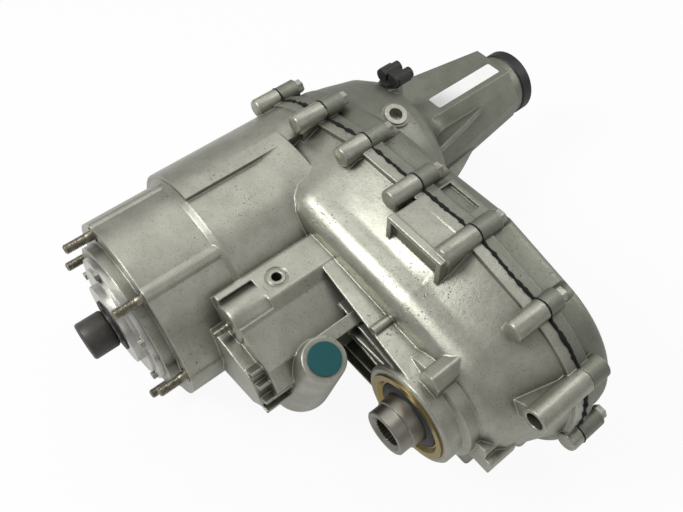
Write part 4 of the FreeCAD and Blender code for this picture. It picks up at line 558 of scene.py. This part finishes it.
@dataclass
class SubAssembly(ABC):
    """A group of pieces that is modelled and dressed together."""

    title: str = "sub-assembly"

    @abstractmethod
    def build(self) -> None:
        """Makes the group's pieces."""

    def material(self, finish: Finish) -> bpy.types.Material:
        """Gives a finish's material, made once.

        Args:
            finish: The finish.

        Returns:
            Its material.
        """
        found = bpy.data.materials.get(finish.name)
        return found if found else finish.build()

    def piece(self, name: str, shape: bmesh.types.BMesh, finish: Finish, slot: Slot,
              body: str = "case", replaced: tuple[str, ...] = (),
              smooth: float = 40.0) -> bpy.types.Object:
        """Turns a bmesh into a finished piece that rides on a body.

        Args:
            name: The piece's name.
            shape: The bmesh, which is freed.
            finish: Its finish.
            slot: The record's material slot.
            body: The CAD body that it rides on.
            replaced: CAD nodes that it stands for.
            smooth: Edges that turn by more than this many degrees stay sharp.

        Returns:
            The new object.
        """
        bmesh.ops.recalc_face_normals(shape, faces=shape.faces)
        mesh = bpy.data.meshes.new(name)
        shape.to_mesh(mesh)
        shape.free()
        return self.dress(name, mesh, finish, slot, body, replaced, smooth)

    def dress(self, name: str, mesh: bpy.types.Mesh, finish: Finish, slot: Slot, body: str,
              replaced: tuple[str, ...], smooth: float) -> bpy.types.Object:
        """Gives a mesh its shading, material and body.

        Args:
            name: The piece's name.
            mesh: Its mesh.
            finish: Its finish.
            slot: Not used.
            body: The CAD body that it rides on.
            replaced: CAD nodes that it stands for.
            smooth: Edges that turn by more than this many degrees stay sharp.

        Returns:
            The new object.
        """
        mesh.shade_smooth()
        mesh.set_sharp_from_angle(angle=math.radians(smooth))
        mesh.materials.clear()
        mesh.materials.append(self.material(finish))
        made = bpy.data.objects.new(name, mesh)
        bpy.context.scene.collection.objects.link(made)
        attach(made, body)
        if replaced:
            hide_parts(*replaced)
        LOG.info("%s: %s, %d faces", self.title, name, len(mesh.polygons))
        return made

    def welded(self, node: str) -> bmesh.types.BMesh:
        """Copies a CAD node's mesh and merges its loose triangles.

        Args:
            node: The CAD node.

        Returns:
            The copy, without the CAD's own normals.
        """
        mesh = frame["nodes"][node].data.copy()
        custom = mesh.attributes.get("custom_normal")
        if custom:
            mesh.attributes.remove(custom)
        shape = bmesh.new()
        shape.from_mesh(mesh)
        bpy.data.meshes.remove(mesh)
        bmesh.ops.remove_doubles(shape, verts=shape.verts, dist=WELD)
        return shape

    def smooth_copy(self, node: str, name: str, finish: Finish, slot: Slot,
                    smooth: float = 32.0) -> bpy.types.Object:
        """Makes a welded copy of a CAD node, so that its curves shade smoothly.

        Args:
            node: The CAD node, which the copy replaces.
            name: The copy's name.
            finish: Its finish.
            slot: The record's material slot.
            smooth: Edges that turn by more than this many degrees stay sharp.

        Returns:
            The new object.
        """
        shape = self.welded(node)
        mesh = bpy.data.meshes.new(name)
        shape.to_mesh(mesh)
        shape.free()
        body = frame["nodes"][node]["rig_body"]
        return self.dress(name, mesh, finish, slot, body, (node,), smooth)

    def turned(self, profile: Profile, axis: Axis = Axis.MAIN,
               steps: int = 64) -> bmesh.types.BMesh:
        """Spins a profile round an axis that runs along Y.

        Args:
            profile: Radius and y of each corner, in millimetres.
            axis: The line that it is spun round.
            steps: How many faces go round.

        Returns:
            The spun shape, with its doubles merged.
        """
        x, z = axis.value
        shape = bmesh.new()
        corners = [shape.verts.new((x + radius * MM, y * MM, z)) for radius, y in profile]
        edges = [shape.edges.new(pair) for pair in zip(corners, corners[1:])]
        bmesh.ops.spin(shape, geom=corners + edges, cent=(x, 0, z), axis=(0, 1, 0),
                       angle=math.tau, steps=steps, use_merge=True)
        bmesh.ops.remove_doubles(shape, verts=shape.verts, dist=WELD)
        return shape


@dataclass(frozen=True)
class Thread:
    """A metric thread, drawn as flat-topped ridges side by side, in millimetres."""

    radius: float
    root: float
    pitch: float
    ridge_start: float = 0.45
    ridge_end: float = 0.6

    def outline(self, start: float, end: float) -> Profile:
        """Draws half of the thread along its axis.

        Args:
            start: Where the first ridge starts.
            end: What the last ridge stays in front of.

        Returns:
            Radius and y of each corner, from root to root.
        """
        corners = []
        y = start
        while y + self.pitch < end:
            corners += [(self.root, y), (self.radius, y + self.pitch * self.ridge_start),
                        (self.radius, y + self.pitch * self.ridge_end)]
            y += self.pitch
        return corners + [(self.root, y)]


@dataclass
class InnerWorks(SubAssembly):
    """Everything inside the case, which keeps its CAD shape."""

    title: str = "inner works"
    finishes: dict[Slot, Finish] = field(default_factory=lambda: {
        Slot.GEAR_STEEL: GEAR_STEEL, Slot.GROUND_STEEL: GROUND_STEEL, Slot.ZINC_STEEL: ZINC,
        Slot.MACHINED: TURNED_ALUMINIUM, Slot.BLACK_PLASTIC: CONNECTOR_NYLON,
        Slot.BRONZE: BRONZE, Slot.MAGNET: FERRITE, Slot.SEALANT: SEALANT,
        Slot.RUBBER: SEAL_RUBBER, Slot.CAP_PLASTIC: CAP_PLASTIC, Slot.BLACK_STEEL: STUD_STEEL,
        Slot.CAST_FRONT: CAST_FRONT, Slot.CAST_REAR: CAST_REAR,
        Slot.TEAL_PLASTIC: TEAL_PLASTIC, Slot.PAPER: LABEL_PAPER, Slot.BRASS_RING: PLATED_RING})

    def build(self) -> None:
        """Gives each CAD node the finish of its material slot."""
        slots = {part["node"]: part["material_slot"] for part in frame["record"]["subparts"]}
        for name, node in frame["nodes"].items():
            finish = self.finishes[Slot(slots[name])]
            node.data.materials.clear()
            node.data.materials.append(self.material(finish))
            LOG.info("%s: %s in %s", self.title, name, finish.name)


@dataclass
class Castings(SubAssembly):
    """The two cast halves of the case."""

    title: str = "castings"

    def build(self) -> None:
        """Makes both halves."""
        self.smooth_copy("front_case", "front_casting", CAST_FRONT, Slot.CAST_FRONT)
        self.smooth_copy("rear_case", "rear_casting", CAST_REAR, Slot.CAST_REAR)


@dataclass
class SeamSealant(SubAssembly):
    """The black bead that was squeezed out of the seam.

    The seam's place, circles and bosses are those of the CAD source.
    """

    title: str = "seam sealant"
    seam_y_mm: float = 245.0
    bead_mm: float = 2.1
    step_mm: float = 3.0
    boss_mm: float = 10.5
    bosses_mm: tuple[tuple[float, float], ...] = (
        (-83.0, 83.0), (-5.0, 121.0), (62.0, 129.0), (132.0, 132.0), (206.0, 131.0),
        (288.0, 112.0), (345.0, 72.0), (364.0, -8.0), (322.0, -68.0), (235.0, -90.0),
        (130.0, -101.0), (25.0, -105.4), (-72.0, -86.0), (-113.0, 8.0))
    circles_mm: tuple[Triple, ...] = (
        (260.0, 14.0, 102.0), (200.0, 73.0, 60.0), (65.0, 62.0, 68.0), (0.0, 0.0, 112.0))
    wander_mm: float = 0.9
    lifted_mm: float = 0.5
    boss_wander: float = 0.3
    boss_width: float = 0.38
    mean_width: float = 0.85
    waves_per_m: float = 90.0
    ripples_per_m: float = 320.0
    swells_per_m: float = 220.0
    swell_shift: Triple = (7.0, 3.0, 1.0)

    def outline(self) -> list[Vector]:
        """Walks round the belt of the seam's circles.

        Returns:
            Points about one step apart, in metres.
        """
        points: list[Vector] = []
        count = len(self.circles_mm)
        turns = []
        for index, (x, z, radius) in enumerate(self.circles_mm):
            next_x, next_z, next_radius = self.circles_mm[(index + 1) % count]
            gap = math.hypot(next_x - x, next_z - z)
            lean = math.acos((radius - next_radius) / gap)
            turns.append(math.atan2(next_z - z, next_x - x) - lean)
        for index, (x, z, radius) in enumerate(self.circles_mm):
            start = turns[index - 1]
            sweep = (turns[index] - start) % math.tau
            pieces = max(2, int(sweep * radius / self.step_mm))
            for step in range(pieces + 1):
                angle = start + sweep * step / pieces
                points.append(Vector((x + radius * math.cos(angle), self.seam_y_mm,
                                      z + radius * math.sin(angle))) * MM)
            next_x, next_z, next_radius = self.circles_mm[(index + 1) % count]
            end = Vector((next_x + next_radius * math.cos(turns[index]), self.seam_y_mm,
                          next_z + next_radius * math.sin(turns[index]))) * MM
            base = points[-1]
            run = end - base
            runs = max(1, int(run.length / (self.step_mm * MM)))
            points.extend(base + run * (step / runs) for step in range(1, runs))
        return points

    def round_bosses(self, points: list[Vector]) -> list[Vector]:
        """Lifts the line over the bolt bosses that it meets.

        Args:
            points: The seam's outline, in metres.

        Returns:
            As many points, with those inside a boss moved out to its skin.
        """
        lifted = []
        reach = self.boss_mm * MM
        for index, point in enumerate(points):
            along = points[(index + 1) % len(points)] - points[index - 1]
            outward = Vector((along.z, 0, -along.x)).normalized()
            rise = 0.0
            for x, z in self.bosses_mm:
                offset = Vector((x, self.seam_y_mm, z)) * MM - point
                side = offset - outward * offset.dot(outward)
                if side.length < reach:
                    skin = math.sqrt(reach ** 2 - side.length_squared)
                    rise = max(rise, offset.dot(outward) + skin)
            # A boss on the far side of the case isn't on this stretch of the seam
            lifted.append(point + outward * (rise if rise < 3 * reach else 0.0))
        return lifted

    def build(self) -> None:
        """Makes the bead as a tube of uneven thickness that wanders about the seam."""
        path = bpy.data.curves.new("sealant_path", "CURVE")
        path.dimensions = "3D"
        path.bevel_depth = self.bead_mm * MM
        path.bevel_resolution = 2
        outline = self.outline()
        points = self.round_bosses(outline)
        line = path.splines.new("POLY")
        line.points.add(len(points) - 1)
        line.use_cyclic_u = True
        for spot, place, flat in zip(line.points, points, outline):
            on_boss = (place - flat).length > self.lifted_mm * MM
            wander = (noise.noise(place * self.waves_per_m) * self.wander_mm
                      + noise.noise(place * self.ripples_per_m) * self.wander_mm)
            share = self.boss_wander if on_boss else 1.0
            spot.co = (place.x, place.y + wander * share * MM, place.z, 1.0)
            swell = noise.noise(place * self.swells_per_m + Vector(self.swell_shift))
            spot.radius = self.boss_width if on_boss else self.mean_width + swell
        holder = bpy.data.objects.new("sealant_path", path)
        mesh = bpy.data.meshes.new_from_object(holder)
        bpy.data.objects.remove(holder)
        mesh.name = "sealant_bead"
        self.dress("sealant_bead", mesh, SEALANT, Slot.SEALANT, "case", (), smooth=60.0)


@dataclass
class AdapterStuds(SubAssembly):
    """The studs of the transmission flange, with their threads."""

    title: str = "adapter studs"
    count: int = 6
    circle_mm: float = 92.0
    thread: Thread = Thread(radius=5.0, root=4.35, pitch=1.5)
    tip_y_mm: float = -30.0
    thread_end_mm: float = -7.5
    chamfer_mm: float = 1.2
    collar_mm: float = 2.4
    collar_y_mm: float = -1.4
    sunk_y_mm: float = 21.0

    def profile(self) -> Profile:
        """Half outline of a stud.

        Returns:
            Radius and y of each corner, in millimetres.
        """
        shank, root, tip = self.thread.radius, self.thread.root, self.tip_y_mm
        thread = self.thread.outline(tip + self.chamfer_mm, self.thread_end_mm)
        collar = shank + self.collar_mm
        return [(0.0, tip), (root - self.chamfer_mm, tip), (root, tip + 1.0), *thread,
                (shank, thread[-1][1] + 1.0), (shank, self.collar_y_mm - 0.2),
                (collar, self.collar_y_mm), (collar, 0.0), (shank, 0.2),
                (shank, self.sunk_y_mm), (0.0, self.sunk_y_mm)]

    def build(self) -> None:
        """Makes all the studs as one piece."""
        joined = bmesh.new()
        single = self.turned(self.profile(), steps=28)
        mesh = bpy.data.meshes.new("stud")
        single.to_mesh(mesh)
        single.free()
        for index in range(self.count):
            angle = math.tau * index / self.count
            before = len(joined.verts)
            joined.from_mesh(mesh)
            joined.verts.ensure_lookup_table()
            shift = Vector((math.cos(angle), 0, math.sin(angle))) * self.circle_mm * MM
            bmesh.ops.translate(joined, verts=joined.verts[before:], vec=shift)
        bpy.data.meshes.remove(mesh)
        self.piece("threaded_studs", joined, STUD_STEEL, Slot.ZINC_STEEL,
                   replaced=("adapter_studs",))


@dataclass
class InputEnd(SubAssembly):
    """Retainer, seal and transport cap in the neck."""

    title: str = "input end"
    cap_mm: float = 20.3
    cap_tip_y_mm: float = -58.0
    cap_rear_y_mm: float = -30.2
    dish_mm: float = 13.0
    dish_depth_mm: float = 1.6
    skirt_mm: float = 11.3
    skirt_end_y_mm: float = -8.0
    bore_mm: float = 9.0
    bore_floor_y_mm: float = -34.0

    def cap_profile(self) -> Profile:
        """Half outline of the cap: dished face, rounded rim and a skirt over the input.

        Returns:
            Radius and y of each corner, in millimetres.
        """
        cap, tip, rear = self.cap_mm, self.cap_tip_y_mm, self.cap_rear_y_mm
        dish, floor = self.dish_mm, self.cap_tip_y_mm + self.dish_depth_mm
        skirt, bore, end = self.skirt_mm, self.bore_mm, self.skirt_end_y_mm
        return [(0.0, floor), (dish, floor), (dish + 1.5, tip + 0.6), (dish + 3.0, tip),
                (cap - 1.9, tip), (cap - 0.7, tip + 0.8), (cap, tip + 2.0),
                (cap, rear - 1.8), (cap - 1.3, rear - 0.2), (skirt, rear),
                (skirt, end - 0.6), (skirt - 0.7, end), (bore + 0.4, end), (bore, end - 1.0),
                (bore, self.bore_floor_y_mm), (0.0, self.bore_floor_y_mm)]

    def build(self) -> None:
        """Makes the pieces that show in the neck."""
        self.smooth_copy("input_retainer", "turned_retainer", TURNED_ALUMINIUM, Slot.MACHINED)
        self.smooth_copy("retainer_screws", "retainer_screw_set", ZINC, Slot.ZINC_STEEL,
                         smooth=30.0)
        self.smooth_copy("input_seal", "input_lip_seal", SEAL_RUBBER, Slot.RUBBER)
        self.smooth_copy("input_shaft", "input_gear", GEAR_STEEL, Slot.GEAR_STEEL)
        self.piece("transport_cap", self.turned(self.cap_profile()), CAP_PLASTIC,
                   Slot.CAP_PLASTIC, "input", ("input_cap",), smooth=50.0)


@dataclass
class FrontOutput(SubAssembly):
    """Splined sleeve and plated seal of the front output."""

    title: str = "front output"
    lip_inner_mm: float = 24.9
    lip_outer_mm: float = 34.6
    lip_face_y_mm: float = 127.6
    lip_rear_y_mm: float = 131.6

    def lip_profile(self) -> Profile:
        """Closed outline of the rubber lip, which steps back towards the plated ring.

        Returns:
            Radius and y of each corner, in millimetres.
        """
        inner, outer = self.lip_inner_mm, self.lip_outer_mm
        face, rear = self.lip_face_y_mm, self.lip_rear_y_mm
        return [(inner, face + 1.0), (inner + 2.1, face), (inner + 5.1, face),
                (inner + 6.3, face + 1.2), (outer - 1.0, face + 1.6), (outer, face + 2.8),
                (outer, rear), (inner, rear), (inner, face + 1.0)]

    def build(self) -> None:
        """Makes the pieces that show at the front output."""
        self.smooth_copy("front_output_shaft", "splined_sleeve", TURNED_OUTPUT, Slot.GEAR_STEEL)
        self.smooth_copy("front_output_seal", "plated_seal_ring", PLATED_RING, Slot.BRASS_RING)
        self.piece("seal_lip", self.turned(self.lip_profile(), Axis.FRONT_OUTPUT), SEAL_RUBBER,
                   Slot.RUBBER, smooth=50.0)


@dataclass
class ShiftSide(SubAssembly):
    """Teal dust plug and bracket stud on the shift housing."""

    title: str = "shift side"
    thread: Thread = Thread(radius=4.0, root=3.3, pitch=1.25)
    tip_y_mm: float = 32.0
    point_mm: float = 3.0
    point_end_mm: float = 4.6
    thread_start_mm: float = 5.6
    block_y_mm: float = 48.0
    collar_mm: float = 1.6
    sunk_mm: float = 22.0

    def stud_profile(self) -> Profile:
        """Half outline of the stud: dog point, thread, collar and shank.

        Returns:
            Radius and y of each corner, in millimetres.
        """
        tip, block, point = self.tip_y_mm, self.block_y_mm, self.point_mm
        thread = self.thread.outline(tip + self.thread_start_mm, block - 2.0)
        collar, shank = self.thread.radius + self.collar_mm, self.thread.radius - 0.3
        return [(0.0, tip), (point - 0.4, tip), (point, tip + 0.6),
                (point, tip + self.point_end_mm), (self.thread.root, tip + 5.4), *thread,
                (self.thread.radius, block - 1.2), (collar, block - 1.0), (collar, block),
                (shank, block), (shank, block + self.sunk_mm), (0.0, block + self.sunk_mm)]

    def build(self) -> None:
        """Makes the pieces that show on the shift housing."""
        self.smooth_copy("shift_plug", "dust_plug", TEAL_PLASTIC, Slot.TEAL_PLASTIC)
        stud = self.turned(self.stud_profile(), Axis.BRACKET_STUD, steps=28)
        self.piece("dog_point_stud", stud, STUD_STEEL, Slot.BLACK_STEEL,
                   replaced=("bracket_stud",))


@dataclass
class RearEnd(SubAssembly):
    """Plugs, connector, label, seal and seam bolts on the rear casting."""

    title: str = "rear end"
    label_corner_mm: float = 2.6
    label_edge_mm: float = 0.5

    def round_label(self) -> None:
        """Makes the blank label with rounded corners, from the CAD one."""
        shape = self.welded("tail_label")
        bmesh.ops.dissolve_limit(shape, angle_limit=math.radians(1), verts=shape.verts,
                                 edges=shape.edges)
        corners = [edge for edge in shape.edges if edge.calc_length() < self.label_edge_mm * MM]
        bmesh.ops.bevel(shape, geom=corners, offset=self.label_corner_mm * MM, affect="EDGES",
                        segments=6, profile=0.5, material=-1)
        self.piece("blank_label", shape, LABEL_PAPER, Slot.PAPER, replaced=("tail_label",),
                   smooth=30.0)

    def build(self) -> None:
        """Makes the pieces that show on the rear casting."""
        self.smooth_copy("fill_plug", "filler_plug", BRIGHT_ZINC, Slot.ZINC_STEEL)
        self.smooth_copy("drain_plug", "drain_screw", ZINC, Slot.ZINC_STEEL)
        self.smooth_copy("speed_sensor", "sensor_connector", CONNECTOR_NYLON, Slot.BLACK_PLASTIC)
        self.smooth_copy("rear_seal", "tail_lip_seal", SEAL_RUBBER, Slot.RUBBER)
        self.round_label()
        self.smooth_copy("case_bolts", "seam_bolts", ZINC, Slot.ZINC_STEEL, smooth=30.0)


@dataclass(frozen=True)
class Lamp:
    """A square soft lamp: its name, place and side in metres, and power in watts."""

    name: str
    place: Triple
    side: float
    power: float


@dataclass
class Studio:
    """Pale floor, soft lamps and the camera at the photograph's angle, in metres."""

    floor_z: float = CAD_BOX[0].z
    floor_reach: float = 6.0
    world_light: float = 0.15
    mirrored: float = 0.3
    aim: Triple = (0.12, 0.22, 0.0)
    lamps: tuple[Lamp, ...] = (
        Lamp("key_softbox", (-0.42, -0.85, 1.35), side=0.6, power=21.0),
        Lamp("top_softbox", (-0.9, 0.5, 1.3), side=1.2, power=4.5),
        Lamp("overhead_softbox", (0.0, 0.85, 1.6), side=0.6, power=4.0),
        Lamp("side_softbox", (1.5, 0.3, 1.3), side=0.9, power=1.5),
        Lamp("back_softbox", (0.5, 1.9, 1.0), side=1.0, power=10.0))
    camera_place: Triple = (0.43346, -0.08937, 0.63960)
    camera_forward: Triple = (-0.4509, 0.3700, -0.8123)
    camera_right: Triple = (0.6344, 0.7730, 0.0)
    lens_mm: float = 39.232
    film_mm: float = 36.0

    def floor(self) -> None:
        """Makes a wide pale floor that keeps a faint shadow."""
        shape = bmesh.new()
        bmesh.ops.create_grid(shape, x_segments=2, y_segments=2, size=self.floor_reach)
        bmesh.ops.translate(shape, verts=shape.verts, vec=(0, 0, self.floor_z))
        mesh = bpy.data.meshes.new("studio_floor")
        shape.to_mesh(mesh)
        shape.free()
        mesh.materials.append(PaperSweep(mirrored=self.mirrored).build())
        floor = bpy.data.objects.new("studio_floor", mesh)
        bpy.context.scene.collection.objects.link(floor)

    def world(self) -> None:
        """Makes a world that is white to the camera and soft to everything else."""
        world = bpy.data.worlds.new("studio_world")
        world.use_nodes = True
        tree = world.node_tree
        tree.nodes.clear()
        strength = add_node(tree, "ShaderNodeMapRange", {"To Min": self.world_light,
                            "To Max": 1.0}, {"Value": (background_share(tree, self.mirrored), 0)})
        light = add_node(tree, "ShaderNodeBackground", {"Color": (1, 1, 1, 1)},
                         {"Strength": (strength, 0)})
        add_node(tree, "ShaderNodeOutputWorld", links={"Surface": (light, 0)})
        bpy.context.scene.world = world

    def hang(self, lamp: Lamp) -> None:
        """Adds a soft lamp that points at the case.

        Args:
            lamp: The lamp.
        """
        data = bpy.data.lights.new(lamp.name, "AREA")
        data.shape = "SQUARE"
        data.size = lamp.side
        data.energy = lamp.power
        light = bpy.data.objects.new(lamp.name, data)
        light.location = lamp.place
        beam = Vector(self.aim) - Vector(lamp.place)
        light.rotation_euler = beam.to_track_quat("-Z", "Y").to_euler()
        bpy.context.scene.collection.objects.link(light)

    def camera(self) -> None:
        """Sets the camera where the photograph was taken from."""
        data = bpy.data.cameras.new("photo_camera")
        data.lens = self.lens_mm
        data.sensor_width = self.film_mm
        data.sensor_fit = "HORIZONTAL"
        data.clip_start = 0.01
        forward = Vector(self.camera_forward).normalized()
        right = Vector(self.camera_right).normalized()
        up = right.cross(forward)
        turn = Matrix((right, up, -forward)).transposed().to_4x4()
        camera = bpy.data.objects.new("photo_camera", data)
        camera.matrix_world = Matrix.Translation(self.camera_place) @ turn
        bpy.context.scene.collection.objects.link(camera)
        bpy.context.scene.camera = camera

    def build(self) -> None:
        """Makes floor, world, lamps and camera."""
        self.floor()
        self.world()
        for lamp in self.lamps:
            self.hang(lamp)
        self.camera()
        bpy.context.scene.view_settings.view_transform = "Standard"
        LOG.info("studio: %d lamps", len(self.lamps))


def main() -> None:
    """Builds each sub-assembly in order, then the studio."""
    logging.basicConfig(level=logging.INFO, format="%(name)s: %(message)s")
    for part in (InnerWorks(), Castings(), SeamSealant(), AdapterStuds(), InputEnd(),
                 FrontOutput(), ShiftSide(), RearEnd()):
        part.build()
    Studio().build()


if __name__ == "__main__":
    main()
